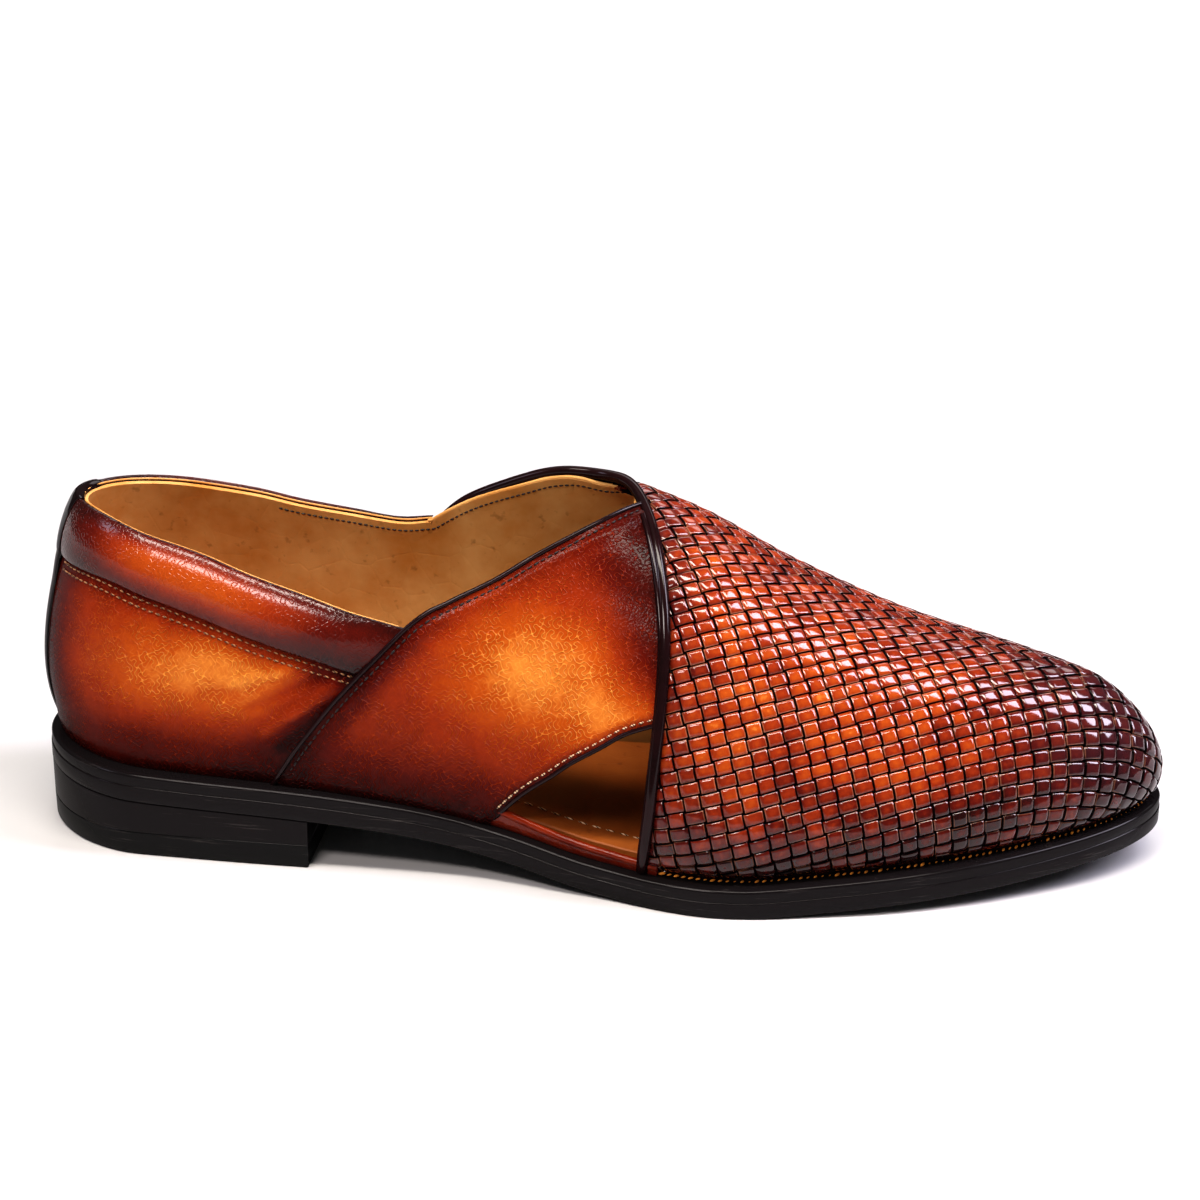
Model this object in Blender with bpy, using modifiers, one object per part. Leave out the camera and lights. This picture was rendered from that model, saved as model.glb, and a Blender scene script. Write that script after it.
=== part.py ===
"""A right shoe in the peshawari manner: two crossing uppers over a low stacked heel.

A close-woven vamp crosses the instep over a plain strap, which leaves a triangular
cut-out low on the outer side. A padded collar and a backstay finish the heel.
Sizes are millimetres until a mesh is made; +X is the toe, +Y the inner (medial)
side, -Y the outer (lateral) side, and z = 0 is the ground.
"""
import math

import bmesh
import bpy
import numpy as np
from mathutils.geometry import delaunay_2d_cdt

MM = 0.001
NAME = "peshawari_shoe"

# Driving dimensions
LENGTH = 300.0           # sole, heel to toe
WALL = 2.5               # upper and its lining
GAP = 0.3                # between pieces that rest on each other
OUTSOLE = 4.4            # thickness of the outsole
WELT = 3.3               # thickness of the welt, gap included
TOP_PIECE = 6.4          # ground to the top of the heel's lowest lift
HEEL_BREAST = 77.5       # front of the heel
HEEL_TAPER = 0.4         # how far the heel draws in towards the ground
INSOLE = 3.0
PIPING_RADIUS = 1.5
BACKSTAY_HALF = 8.0      # half width of the backstay
BACKSTAY = 1.2           # its thickness
BACKSTAY_TURN = 9.0      # how far it turns down inside
BACKSTAY_GAP = 0.45      # it bridges the flats of the leather under it
COLLAR_EDGE = 0.7        # thickness of the padded collar along its seam
HALF_GIRTH = 92.0        # length of a long rib from the feather line to the top line

FEATHER_BACK = 3.8       # where the upper meets the welt at the back
FEATHER_TOE = 296.0      # and at the toe
RIDGE_BACK = 28.0        # ends of the line along the top of the last
RIDGE_TOE = 275.0
HEEL_ROUND = 60.0        # behind this station the ribs fan round the heel
TOE_ROUND = 225.0        # in front of this station they fan round the toe
TOE_FALL = 0.42          # slope of the toe's top along the last rib
HEEL_END, HEEL_POWER = 32.0, 2.0     # length and fullness of the sole's round ends
TOE_END, TOE_POWER = 77.0, 2.05
TIP_SWING = 6.0          # the toe tip stands this far to the medial side
SWING_START = 190.0

# Sole edge: distance from the long axis, before the round ends are taken off
SOLE_WIDTHS = {
    "station": (0, 35, 75, 115, 150, 185, 215, 245, 275, 300),
    "lateral": (33.0, 36.5, 38.3, 38.8, 45.0, 53.0, 48.6, 42.3, 37.0, 34.7),
    "medial": (33.0, 34.0, 32.5, 31.0, 36.0, 46.5, 50.0, 46.5, 40.0, 34.0),
}
# Underside of the outsole: heel seat, arch, flat tread, toe spring
BED = {
    "station": (0, 40, 72, 100, 130, 155, 170, 190, 205, 225, 250, 275, 300),
    "height": (16.8, 14.8, 13.6, 11.2, 5.9, 1.0, 0.0, 0.0, 0.8, 2.2, 3.9, 6.0, 9.0),
}
# Welt left bare outside the upper
WELT_LEDGE = {
    "station": (0, 35, 75, 115, 150, 215, 275, 300),
    "width": (6.0, 6.2, 5.6, 4.4, 4.8, 5.4, 4.6, 4.4),
}
# The last: place and height of its top line, fullness of the section (2 is an
# ellipse), and how far the wall swells past the feather line, and at what height
LAST = {
    "station": (28, 60, 100, 130, 150, 175, 200, 230, 255, 275),
    "centre": (0.0, 0.5, 2.5, 4.5, 5.5, 6.0, 6.0, 5.0, 4.0, 3.0),
    "height": (107.0, 110.0, 112.0, 106.5, 97.7, 87.9, 74.7, 62.3, 55.3, 50.5),
    "fullness": (1.93, 1.95, 2.0, 2.0, 2.0, 2.0, 2.0, 2.0, 2.1, 2.2),
    "swell_lateral": (3.5, 3.5, 3.0, 2.5, 2.5, 3.0, 3.0, 3.0, 3.0, 3.5),
    "swell_medial": (3.5, 3.5, 3.0, 3.0, 3.0, 3.5, 3.5, 3.0, 3.0, 3.5),
    "swell_height": (20, 20, 18, 16, 15, 13, 12, 11, 10, 10),
}
BACK_SWELL, BACK_SWELL_HEIGHT, BACK_SWELL_END = 5.0, 24.5, 30.0

# Lines on the last. Station is where the rib leaves the welt; girth is -1 at the
# lateral feather line, 0 on the top line and +1 at the medial feather line.
TOPLINE = {
    "station": (3.8, 15, 33, 48, 61, 75, 88, 100.5, 107, 114, 126, 138, 150, 157, 158.5,
                156.5, 150, 142, 134, 125, 111, 101, 92, 78, 65, 52, 33, 15, 3.8),
    "girth": (-0.43, -0.445, -0.49, -0.53, -0.575, -0.615, -0.65, -0.67, -0.635, -0.60,
              -0.52, -0.405, -0.265, -0.17, -0.09, 0.06, 0.185, 0.245, 0.32, 0.395,
              0.49, 0.56, 0.57, 0.55, 0.525, 0.49, 0.455, 0.435, 0.43),
}
TOPLINE_DIPS = (100.5, 101.0)        # stations of its two corners, lateral and medial
CUTOUT_STRAP = {                     # upper edge of the cut-out, along the strap
    "station": (127.5, 134, 141, 147, 153.5, 159, 163.5),
    "girth": (-0.965, -0.915, -0.865, -0.82, -0.775, -0.74, -0.712),
}
CUTOUT_VAMP = {                      # front edge, along the woven vamp
    "station": (163.5, 163, 162.6, 162.2),
    "girth": (-0.712, -0.80, -0.89, -0.966),
}
CUTOUT_RAND = {                      # lower edge, along the narrow rand
    "station": (162.2, 154, 146, 138, 127.5),
    "girth": (-0.966, -0.968, -0.968, -0.967, -0.965),
}
COLLAR_SEAM = {                      # lower edge of the padded collar, either side
    "station": (3.8, 20, 35, 49, 62, 75.5, 88.5, 95),
    "lateral": (-0.59, -0.60, -0.633, -0.670, -0.707, -0.738, -0.762, -0.772),
    "medial": (0.59, 0.595, 0.61, 0.635, 0.66, 0.68, 0.70, 0.71),
}
COLLAR_PAD = {                       # how far the pad stands proud of its edge
    "station": (3.8, 20, 50, 75, 95),
    "pad": (1.0, 1.9, 2.6, 2.5, 1.6),
}
COLLAR_FRONT = {-1: (88.0, 97.5), 1: (84.0, 95.5)}   # its front end, at seam and top line
PIPING_LINE = {                      # edge of the woven vamp, over the instep
    "station": (165.6, 166.6, 167.2, 168, 168.4, 168.2, 167, 165, 162.4, 159.3, 155.6,
                149, 141, 133, 124, 111, 101.5, 95, 89, 83, 77, 73),
    "girth": (-0.955, -0.87, -0.80, -0.70, -0.60, -0.50, -0.40, -0.29, -0.18, -0.07, 0.05,
              0.195, 0.262, 0.338, 0.412, 0.508, 0.592, 0.655, 0.725, 0.80, 0.885, 0.945),
}

# Mesh spacing
EDGE_SPACING = 6.2       # along the feather line and the cut edges
UPPER_ROWS = (0.0, 0.125, 0.25, 0.375, 0.5, 0.625, 0.75, 0.86, 0.93, 0.973)     # in girth
UPPER_BETWEEN = (0.0625, 0.1875, 0.3125, 0.4375, 0.5625, 0.6875, 0.805)         # where room
UPPER_ROOM, FOOT_ROOM = 4.2, 2.0         # least distance between points, and low down
SOLE_STATIONS = 57


def read(table, column, at):
    """Smooth value of a table's column: cubic, with no overshoot between rows."""
    xs = np.asarray(table["station"], float)
    ys = np.asarray(table[column], float)
    step = np.diff(xs)
    rise = np.diff(ys) / step
    slope = np.zeros_like(ys)
    slope[0] = rise[0]
    slope[-1] = rise[-1]
    for i in range(1, len(xs) - 1):
        if rise[i - 1] * rise[i] > 0:
            before = 2 * step[i] + step[i - 1]
            after = step[i] + 2 * step[i - 1]
            slope[i] = (before + after) / (before / rise[i - 1] + after / rise[i])
    at = np.clip(np.asarray(at, float), xs[0], xs[-1])
    k = np.clip(np.searchsorted(xs, at, side="right") - 1, 0, len(xs) - 2)
    t = (at - xs[k]) / step[k]
    start = (1 + 2 * t) * (1 - t) ** 2 * ys[k] + t * (1 - t) ** 2 * step[k] * slope[k]
    end = t * t * (3 - 2 * t) * ys[k + 1] + t * t * (t - 1) * step[k] * slope[k + 1]
    return start + end


def swing(x):
    """The long axis bends to the medial side towards the toe."""
    return TIP_SWING * np.clip((x - SWING_START) / (LENGTH - SWING_START), 0, 1) ** 2


def round_ends(x, back, toe):
    """1 along the middle of an outline, falling to 0 round its heel and toe."""
    heel = np.clip((back + HEEL_END - x) / HEEL_END, 0, 1) ** HEEL_POWER
    front = np.clip((x - toe + TOE_END) / TOE_END, 0, 1) ** TOE_POWER
    return (1 - heel) ** (1 / HEEL_POWER) * (1 - front) ** (1 / TOE_POWER)


def outline(side, x, back=0.0, toe=LENGTH, inset=0.0):
    """y of an outline like the sole's, drawn in by inset; side is -1 or +1."""
    width = read(SOLE_WIDTHS, "medial" if side > 0 else "lateral", x) - inset
    return swing(x) + side * width * round_ends(x, back, toe)


def bed(x):
    return read(BED, "height", x)


def welt_top(x):
    return bed(x) + OUTSOLE + WELT


def even_stations(count, back, toe):
    """Stations that crowd towards both round ends."""
    turn = np.linspace(0, math.pi, count)
    return back + (toe - back) * (1 - np.cos(turn)) / 2


def last_point(station, girth):
    """Point of the upper's outer face, as rows of x, y, z."""
    station, girth = np.broadcast_arrays(np.asarray(station, float), np.asarray(girth, float))
    medial = girth > 0
    inset = read(WELT_LEDGE, "width", station)
    foot_y = np.where(medial, outline(1, station, FEATHER_BACK, FEATHER_TOE, inset),
                      outline(-1, station, FEATHER_BACK, FEATHER_TOE, inset))
    foot_z = welt_top(station) + GAP
    fan_back = (RIDGE_BACK - FEATHER_BACK) / (HEEL_ROUND - FEATHER_BACK) ** 2
    fan_toe = (FEATHER_TOE - RIDGE_TOE) / (FEATHER_TOE - TOE_ROUND) ** 2
    top_x = (station + fan_back * np.clip(HEEL_ROUND - station, 0, None) ** 2
             - fan_toe * np.clip(station - TOE_ROUND, 0, None) ** 2)
    top_y = read(LAST, "centre", top_x)
    top_z = read(LAST, "height", top_x)
    full = read(LAST, "fullness", top_x)
    swell = np.where(medial, read(LAST, "swell_medial", top_x), read(LAST, "swell_lateral", top_x))
    swell_z = read(LAST, "swell_height", top_x)
    heel = np.clip((BACK_SWELL_END - station) / (BACK_SWELL_END - FEATHER_BACK), 0, 1) ** 2
    swell = swell + (BACK_SWELL - swell) * heel
    swell_z = swell_z + (BACK_SWELL_HEIGHT - swell_z) * heel

    turn = (1 - np.abs(girth)) * math.pi / 2
    reach = np.clip(np.cos(turn), 0, 1) ** (2 / full)
    rise = np.clip(np.sin(turn), 0, 1) ** (2 / full)
    out_x = station - top_x
    out_y = foot_y - top_y
    span = np.hypot(out_x, out_y) + 1e-9
    height = rise * (top_z - foot_z)
    bulge = swell * height / swell_z * np.exp(1 - height / swell_z)
    fall = TOE_FALL * np.clip((station - TOE_ROUND) / (FEATHER_TOE - TOE_ROUND), 0, 1)
    x = top_x + (reach + bulge / span) * out_x
    y = top_y + (reach + bulge / span) * out_y
    z = foot_z + height - fall * reach * out_x * rise ** 2
    return np.stack([x, y, z], axis=-1)


def last_normal(station, girth):
    """Outward unit normal of the upper's outer face."""
    station, girth = np.broadcast_arrays(np.asarray(station, float), np.asarray(girth, float))
    step_s, step_g = 0.15, 0.004
    ahead = np.clip(station + step_s, FEATHER_BACK + 0.02, FEATHER_TOE - 0.02)
    behind = np.clip(station - step_s, FEATHER_BACK + 0.01, FEATHER_TOE - 0.32)
    low = np.where(girth > 0, girth - step_g, girth)
    high = np.where(girth > 0, girth, girth + step_g)
    along = last_point(ahead, girth) - last_point(behind, girth)
    across = last_point(station, high) - last_point(station, low)
    normal = np.cross(along, across)
    return normal / (np.linalg.norm(normal, axis=-1, keepdims=True) + 1e-12)


def smooth_line(table, spacing, corners=()):
    """Rows of station and girth along a table's line, about spacing mm apart.

    The line is a Catmull-Rom curve through the rows, broken at the corner stations."""
    rows = np.stack([table["station"], table["girth"]], axis=1).astype(float)
    places = last_point(rows[:, 0], rows[:, 1])
    result = [rows[0]]
    last = len(rows) - 1
    for i in range(last):
        sharp_a = i == 0 or any(abs(rows[i][0] - c) < 0.01 for c in corners)
        sharp_b = i + 1 == last or any(abs(rows[i + 1][0] - c) < 0.01 for c in corners)
        chord = rows[i + 1] - rows[i]
        slope_a = chord if sharp_a else (rows[i + 1] - rows[i - 1]) / 2
        slope_b = chord if sharp_b else (rows[i + 2] - rows[i]) / 2
        count = max(1, round(np.linalg.norm(places[i + 1] - places[i]) / spacing))
        for k in range(1, count + 1):
            t = k / count
            point = ((1 + 2 * t) * (1 - t) ** 2 * rows[i] + t * (1 - t) ** 2 * slope_a
                     + t * t * (3 - 2 * t) * rows[i + 1] + t * t * (t - 1) * slope_b)
            result.append(point)
    return np.array(result)


def place(points):
    """Shoe millimetres to the part's frame: origin under the middle of its box."""
    x = even_stations(400, 0, LENGTH)
    middle_y = (outline(-1, x).min() + outline(1, x).max()) / 2
    back = last_point(FEATHER_BACK, np.linspace(-1, -0.5, 60))[:, 0].min() - GAP - BACKSTAY
    shift = np.array([(LENGTH + back) / 2, middle_y, 0.0])
    return (np.asarray(points, float) - shift) * MM


# Materials and objects

def material(name, colour, roughness, metallic=0.0):
    mat = bpy.data.materials.new(name)
    mat.use_nodes = True
    shader = mat.node_tree.nodes["Principled BSDF"]
    shader.inputs["Base Color"].default_value = (*colour, 1.0)
    shader.inputs["Roughness"].default_value = roughness
    shader.inputs["Metallic"].default_value = metallic
    return mat


def add_object(name, points, faces, mat, collection, smooth_angle=40.0):
    """One named node from points in shoe millimetres."""
    mesh = bpy.data.meshes.new(name)
    mesh.from_pydata([tuple(p) for p in place(points)], [], faces)
    work = bmesh.new()
    work.from_mesh(mesh)
    bmesh.ops.remove_doubles(work, verts=work.verts, dist=0.02 * MM)
    bmesh.ops.recalc_face_normals(work, faces=work.faces)
    work.to_mesh(mesh)
    work.free()
    mesh.shade_smooth()
    mesh.set_sharp_from_angle(angle=math.radians(smooth_angle))
    mesh.materials.append(mat)
    obj = bpy.data.objects.new(name, mesh)
    collection.objects.link(obj)
    return obj


def round_edges(obj, width, segments=1, angle=50.0):
    bevel = obj.modifiers.new("rounded edges", "BEVEL")
    bevel.width = width * MM
    bevel.segments = segments
    bevel.limit_method = "ANGLE"
    bevel.angle_limit = math.radians(angle)
    return bevel


def loft(rings, closed=True):
    """Points and quads of a tube through equal rings, with a face at either end."""
    count = len(rings[0])
    points = np.concatenate(rings)
    faces = []
    for i in range(len(rings) - 1):
        for k in range(count if closed else count - 1):
            a = i * count + k
            b = i * count + (k + 1) % count
            faces.append((a, b, b + count, a + count))
    faces.append(tuple(range(count))[::-1])
    end = (len(rings) - 1) * count
    faces.append(tuple(range(end, end + count)))
    return points, faces


def slab(x, lateral, medial, low, high):
    """A sheet between two heights, one four-cornered section at each station."""
    points = []
    for row in zip(x, lateral, medial, low, high):
        at, left, right, bottom, top = row
        points += [(at, left, bottom), (at, right, bottom), (at, right, top), (at, left, top)]
    faces = []
    for i in range(0, len(points) - 4, 4):
        for k in range(4):
            j = (k + 1) % 4
            faces.append((i + k, i + j, i + 4 + j, i + 4 + k))
    faces.append((0, 1, 2, 3))
    end = len(points) - 4
    faces.append((end + 3, end + 2, end + 1, end))
    return points, faces


# The sole

def make_sole(collection):
    rubber = material("outsole_leather_black", (0.012, 0.011, 0.011), 0.45)
    x = even_stations(SOLE_STATIONS, 0.02, LENGTH - 0.02)
    flat = np.array([168.0, 170.0, 180.0, 190.0, 192.0])
    x = np.sort(np.concatenate([x[np.abs(x - 180) > 13], flat]))
    low = bed(x)
    points, faces = slab(x, outline(-1, x), outline(1, x), low, low + OUTSOLE)
    round_edges(add_object("outsole", points, faces, rubber, collection), 0.5)

    edge = material("welt_leather_black", (0.016, 0.014, 0.013), 0.4)
    low = bed(x) + OUTSOLE + GAP
    points, faces = slab(x, outline(-1, x), outline(1, x), low, welt_top(x))
    round_edges(add_object("welt", points, faces, edge, collection), 0.6)


def heel_block(name, low, high, taper_low, taper_high, mat, collection):
    """One lift: the sole's outline behind the breast, drawn in by a taper at each level."""
    rings = []
    for height, taper in ((low, taper_low), (high, taper_high)):
        turn = np.linspace(0, math.pi / 2, 17)
        ratio = (HEEL_BREAST - taper) / HEEL_BREAST
        x = taper + (HEEL_BREAST - taper) * (1 - np.cos(turn))
        full = (x - taper) / ratio
        lateral = outline(-1, full, inset=taper)
        medial = outline(1, full, inset=taper)
        ring_x = np.concatenate([x, x[:0:-1]])
        ring_y = np.concatenate([lateral, medial[:0:-1]])
        z = height(ring_x) if callable(height) else np.full_like(ring_x, height)
        rings.append(np.stack([ring_x, ring_y, z], axis=1))
    points, faces = loft(rings)
    round_edges(add_object(name, points, faces, mat, collection), 0.4)


def make_heel(collection):
    stack = material("heel_lift_leather_black", (0.014, 0.012, 0.012), 0.45)
    tread = material("heel_top_rubber_black", (0.010, 0.010, 0.010), 0.6)
    middle = HEEL_TAPER * 0.55
    heel_block("heel_top_piece", 0.0, TOP_PIECE, HEEL_TAPER, middle, tread, collection)
    heel_block("heel_lift", TOP_PIECE + GAP, lambda x: bed(x) - GAP, middle, 0.1, stack, collection)


def make_insole(collection):
    leather = material("insole_leather_brown", (0.30, 0.11, 0.035), 0.55)
    clear = WALL + 2 * GAP
    back, toe = FEATHER_BACK + clear, FEATHER_TOE - clear
    x = even_stations(45, back + 0.02, toe - 0.02)
    inset = read(WELT_LEDGE, "width", x) + clear
    low = welt_top(x) + GAP
    points, faces = slab(x, outline(-1, x, back, toe, inset), outline(1, x, back, toe, inset),
                         low, low + INSOLE)
    round_edges(add_object("insole", points, faces, leather, collection), 0.5)


# The upper

def inside(loop, points):
    """Which points lie inside a closed loop of the flat pattern."""
    hit = np.zeros(len(points), bool)
    px, py = points[:, 0], points[:, 1]
    for (x0, y0), (x1, y1) in zip(loop, np.roll(loop, -1, axis=0)):
        crosses = (y0 > py) != (y1 > py)
        reach = (x1 - x0) * (py - y0) / (y1 - y0 if y1 != y0 else 1e-9) + x0
        hit ^= crosses & (px < reach)
    return hit


def pattern_scale():
    """Stations along the feather line, and the length run along it to each, in mm."""
    station = even_stations(241, FEATHER_BACK, FEATHER_TOE)
    foot = last_point(station, -1.0)
    run = np.concatenate([[0], np.cumsum(np.linalg.norm(np.diff(foot, axis=0), axis=1))])
    return station, run


def make_upper(collection):
    """Shell of the whole upper, open at the collar, at the cut-out and underneath."""
    stations, run = pattern_scale()

    def flat(rows):
        return np.stack([np.interp(rows[:, 0], stations, run), rows[:, 1] * HALF_GIRTH], axis=1)

    foot_x = np.interp(np.linspace(0, run[-1], round(run[-1] / EDGE_SPACING) + 1), run, stations)
    top = smooth_line(TOPLINE, EDGE_SPACING, TOPLINE_DIPS)
    half_rib = np.array(UPPER_ROWS[1:] + (1.0,))
    toe_rib = np.concatenate([-half_rib[::-1], [0], half_rib])
    back_rib = half_rib[half_rib > TOPLINE["girth"][-1] + 0.03]
    border = np.concatenate([
        np.stack([foot_x, np.full_like(foot_x, -1)], axis=1)[:-1],
        np.stack([np.full_like(toe_rib, FEATHER_TOE), toe_rib], axis=1),
        np.stack([foot_x[::-1], np.full_like(foot_x, 1)], axis=1)[1:],
        np.stack([np.full_like(back_rib, FEATHER_BACK), back_rib], axis=1)[-2::-1],
        top[::-1],
        np.stack([np.full_like(back_rib, FEATHER_BACK), -back_rib], axis=1)[:-1]])
    hole = np.concatenate([smooth_line(t, EDGE_SPACING)[:-1]
                           for t in (CUTOUT_STRAP, CUTOUT_VAMP, CUTOUT_RAND)])
    outer, inner = flat(border), flat(hole)

    rim = np.concatenate([outer, inner])
    kept = [last_point(*p) for p in np.concatenate([border, hole])]
    columns = sorted(foot_x[1:-1], key=lambda station: abs(station - LENGTH / 2))
    grid = []
    for row in UPPER_ROWS + UPPER_BETWEEN:
        room = FOOT_ROOM if row > 0.9 else UPPER_ROOM
        for girth in sorted({-row, row}):
            for station in columns:
                spot = last_point(station, girth)
                apart = np.linalg.norm(np.array(kept) - spot, axis=1).min()
                in_pattern = flat(np.array([[station, girth]]))
                if (apart > room and inside(outer, in_pattern)[0]
                        and not inside(inner, in_pattern)[0]):
                    kept.append(spot)
                    grid.append(in_pattern[0])
    loops = [(0, len(outer)), (len(outer), len(rim))]
    edges = [(a + k, a + (k + 1) % (b - a)) for a, b in loops for k in range(b - a)]
    verts = [tuple(p) for p in np.concatenate([rim, grid])]
    found = delaunay_2d_cdt(verts, edges, [], 0, 1e-5, False)
    plane = np.array([tuple(v) for v in found[0]])
    faces = np.array([tuple(f) for f in found[2]])
    centre = plane[faces].mean(axis=1)
    faces = faces[inside(outer, centre) & ~inside(inner, centre)]
    station = np.interp(plane[:, 0], run, stations)
    points = last_point(station, np.clip(plane[:, 1] / HALF_GIRTH, -1, 1))

    leather = material("calf_upper_tan", (0.42, 0.10, 0.018), 0.35)
    obj = add_object("upper", points, [tuple(int(i) for i in f) for f in faces], leather, collection)
    shell = obj.modifiers.new("wall", "SOLIDIFY")
    shell.thickness = WALL * MM
    shell.offset = -1.0
    shell.use_even_offset = False
    shell.use_rim = True
    return obj


def collar_offset(station, up):
    """How far the padded collar stands off the last; up is 0 at its seam, 1 at its top."""
    pad = read(COLLAR_PAD, "pad", station)
    return COLLAR_EDGE + pad * np.sin(math.pi * np.clip(up, 0, 1) ** 0.9) ** 0.75


def collar_rows(side, station):
    """Girth of the collar's seam and of its top at a station."""
    seam = read(COLLAR_SEAM, "medial" if side > 0 else "lateral", station)
    half = len(TOPLINE["station"]) // 2
    pick = slice(0, half) if side < 0 else slice(None, half + 1, -1)
    line = {"station": TOPLINE["station"][pick][:8], "girth": TOPLINE["girth"][pick][:8]}
    return seam, read(line, "girth", station)


def make_collar(collection):
    """Padded roll from the seam to the top line, round the heel from strap to strap."""
    leather = material("calf_collar_brown", (0.30, 0.05, 0.012), 0.3)
    rings = []
    turn = np.linspace(0, 1, 29)
    up = np.linspace(0, 1, 8)
    for side, order in ((-1, turn[::-1]), (1, turn[1:])):
        at_seam, at_top = COLLAR_FRONT[side]
        front = at_seam + (at_top - at_seam) * up
        for t in order:
            station = FEATHER_BACK + (front - FEATHER_BACK) * t ** 1.7
            seam, top = collar_rows(side, station)
            girth = seam + (top - seam) * up
            end = np.clip((front - station) / 10.0, 0, 1) ** 0.5
            thick = GAP + COLLAR_EDGE * 0.6 + (collar_offset(station, up) - COLLAR_EDGE * 0.6) * end
            base = last_point(station, girth)
            normal = last_normal(station, girth)
            skin = base + normal * thick[:, None]
            floor = base + normal * GAP
            rings.append(np.concatenate([skin, floor[[7, 4, 0]]]))
    points, faces = loft(rings)
    add_object("collar", points, faces, leather, collection)


def back_station(side, girth, width):
    """Station of the rib that passes width mm beside the back line at a girth."""
    trial = FEATHER_BACK + np.linspace(0, 1, 200) ** 2 * 26
    y = np.abs(last_point(trial, girth)[:, 1])
    return np.interp(width, y, trial)


def make_backstay(collection):
    """Narrow strip up the back, over the collar and down inside."""
    leather = material("calf_trim_black", (0.02, 0.01, 0.01), 0.3)
    columns = np.linspace(-1, 1, 9) * BACKSTAY_HALF
    rings = []
    for y in columns:
        side = 1 if y > 0 else -1
        path, away = [], []
        low = -0.985
        top = TOPLINE["girth"][0]
        seam = COLLAR_SEAM["lateral"][0]
        girths = np.concatenate([np.linspace(low, seam, 8), np.linspace(seam, top, 8)[1:]])
        for g in girths:
            station = back_station(side, side * abs(g), abs(y))
            up = (g - seam) / (top - seam)
            lift = BACKSTAY_GAP
            if g > seam - 0.02:
                lift = GAP + BACKSTAY_GAP + float(collar_offset(station, max(up, 0.0)))
            normal = last_normal(station, side * abs(g))
            path.append(last_point(station, side * abs(g)) + normal * lift)
            away.append(normal)
        crown, out = path[-1], away[-1]
        station = back_station(side, side * abs(top), abs(y))
        rim = last_point(station, side * abs(top))
        up_wall = np.array([0.0, 0.0, 1.0])
        lip = GAP + 0.2
        path[-1] = crown + up_wall * 0.1
        away[-1] = out * 0.8 + up_wall * 0.6
        path.append(rim + up_wall * lip + out * 0.9)
        away.append(up_wall)
        path.append(rim + up_wall * lip - out * (WALL - 0.9))
        away.append(up_wall)
        for down in (0.0, BACKSTAY_TURN / 2, BACKSTAY_TURN):
            g = top - down / HALF_GIRTH * 1.25
            station = back_station(side, side * abs(g), abs(y))
            normal = last_normal(station, side * abs(g))
            path.append(last_point(station, side * abs(g)) - normal * (WALL + GAP + BACKSTAY_GAP))
            away.append(-normal if down else (-normal * 0.8 + up_wall * 0.6))
        path, away = np.array(path), np.array(away)
        rings.append(np.concatenate([path, (path + away * BACKSTAY)[::-1]]))
    points, faces = loft(rings)
    add_object("backstay", points, faces, leather, collection)


def make_piping(collection):
    """Corded edge of the woven vamp: a tube laid on the last."""
    leather = material("calf_piping_aubergine", (0.03, 0.012, 0.012), 0.25)
    rows = smooth_line(PIPING_LINE, 5.0)
    lift = PIPING_RADIUS + GAP
    centre = place(last_point(rows[:, 0], rows[:, 1]) + last_normal(rows[:, 0], rows[:, 1]) * lift)
    data = bpy.data.curves.new("vamp_piping", "CURVE")
    data.dimensions = "3D"
    data.bevel_depth = PIPING_RADIUS * MM
    data.bevel_resolution = 2
    data.use_fill_caps = True
    spline = data.splines.new("POLY")
    spline.points.add(len(centre) - 1)
    for point, co in zip(spline.points, centre):
        point.co = (*co, 1.0)
    data.materials.append(leather)
    obj = bpy.data.objects.new("vamp_piping", data)
    collection.objects.link(obj)


def main():
    for obj in list(bpy.data.objects):
        bpy.data.objects.remove(obj, do_unlink=True)
    collection = bpy.data.collections.new(NAME)
    bpy.context.scene.collection.children.link(collection)
    make_sole(collection)
    make_heel(collection)
    make_insole(collection)
    make_upper(collection)
    make_collar(collection)
    make_backstay(collection)
    make_piping(collection)


main()
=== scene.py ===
"""Looks of a closed peshawari shoe: a woven vamp crossing a plain strap, on a welted sole.

Shapes are in the shoe's own millimetres: x runs from the heel (0) to the toe (300), y is
positive on the medial side and z is up from the ground. A place on the last is a turn, 0 at
the heel's back line and pi at the toe's front line, and a girth, -1 at the lateral feather
line, 0 on the top line and 1 at the medial feather line."""

import math
from functools import partial

import bpy
import bmesh
import numpy as np
from bpy.props import FloatProperty, PointerProperty, StringProperty
from bpy.types import Operator, Panel, PropertyGroup
from mathutils import Matrix, Vector


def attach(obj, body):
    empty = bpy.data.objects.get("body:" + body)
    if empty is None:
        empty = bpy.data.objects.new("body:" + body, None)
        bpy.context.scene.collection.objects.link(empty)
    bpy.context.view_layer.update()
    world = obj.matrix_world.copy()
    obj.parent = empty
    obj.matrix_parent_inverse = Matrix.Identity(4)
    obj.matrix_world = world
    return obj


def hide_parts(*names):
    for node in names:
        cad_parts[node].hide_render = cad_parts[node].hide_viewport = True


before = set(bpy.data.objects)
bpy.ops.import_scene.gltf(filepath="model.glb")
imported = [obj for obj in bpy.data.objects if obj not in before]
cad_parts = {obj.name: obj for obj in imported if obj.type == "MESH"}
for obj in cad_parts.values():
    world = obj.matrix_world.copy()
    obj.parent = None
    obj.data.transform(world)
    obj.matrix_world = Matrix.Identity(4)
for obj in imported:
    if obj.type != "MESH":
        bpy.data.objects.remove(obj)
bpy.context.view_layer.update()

bl_info = {
    "name": "Peshawari shoe",
    "version": (1, 0, 0),
    "blender": (4, 5, 0),
    "location": "View3D > Sidebar > Shoe",
    "description": "Makes the woven vamp, the leather panels, the sole and the studio of one shoe",
    "category": "Add Mesh",
}

MM = 0.001
TAU = 2 * math.pi

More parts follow.
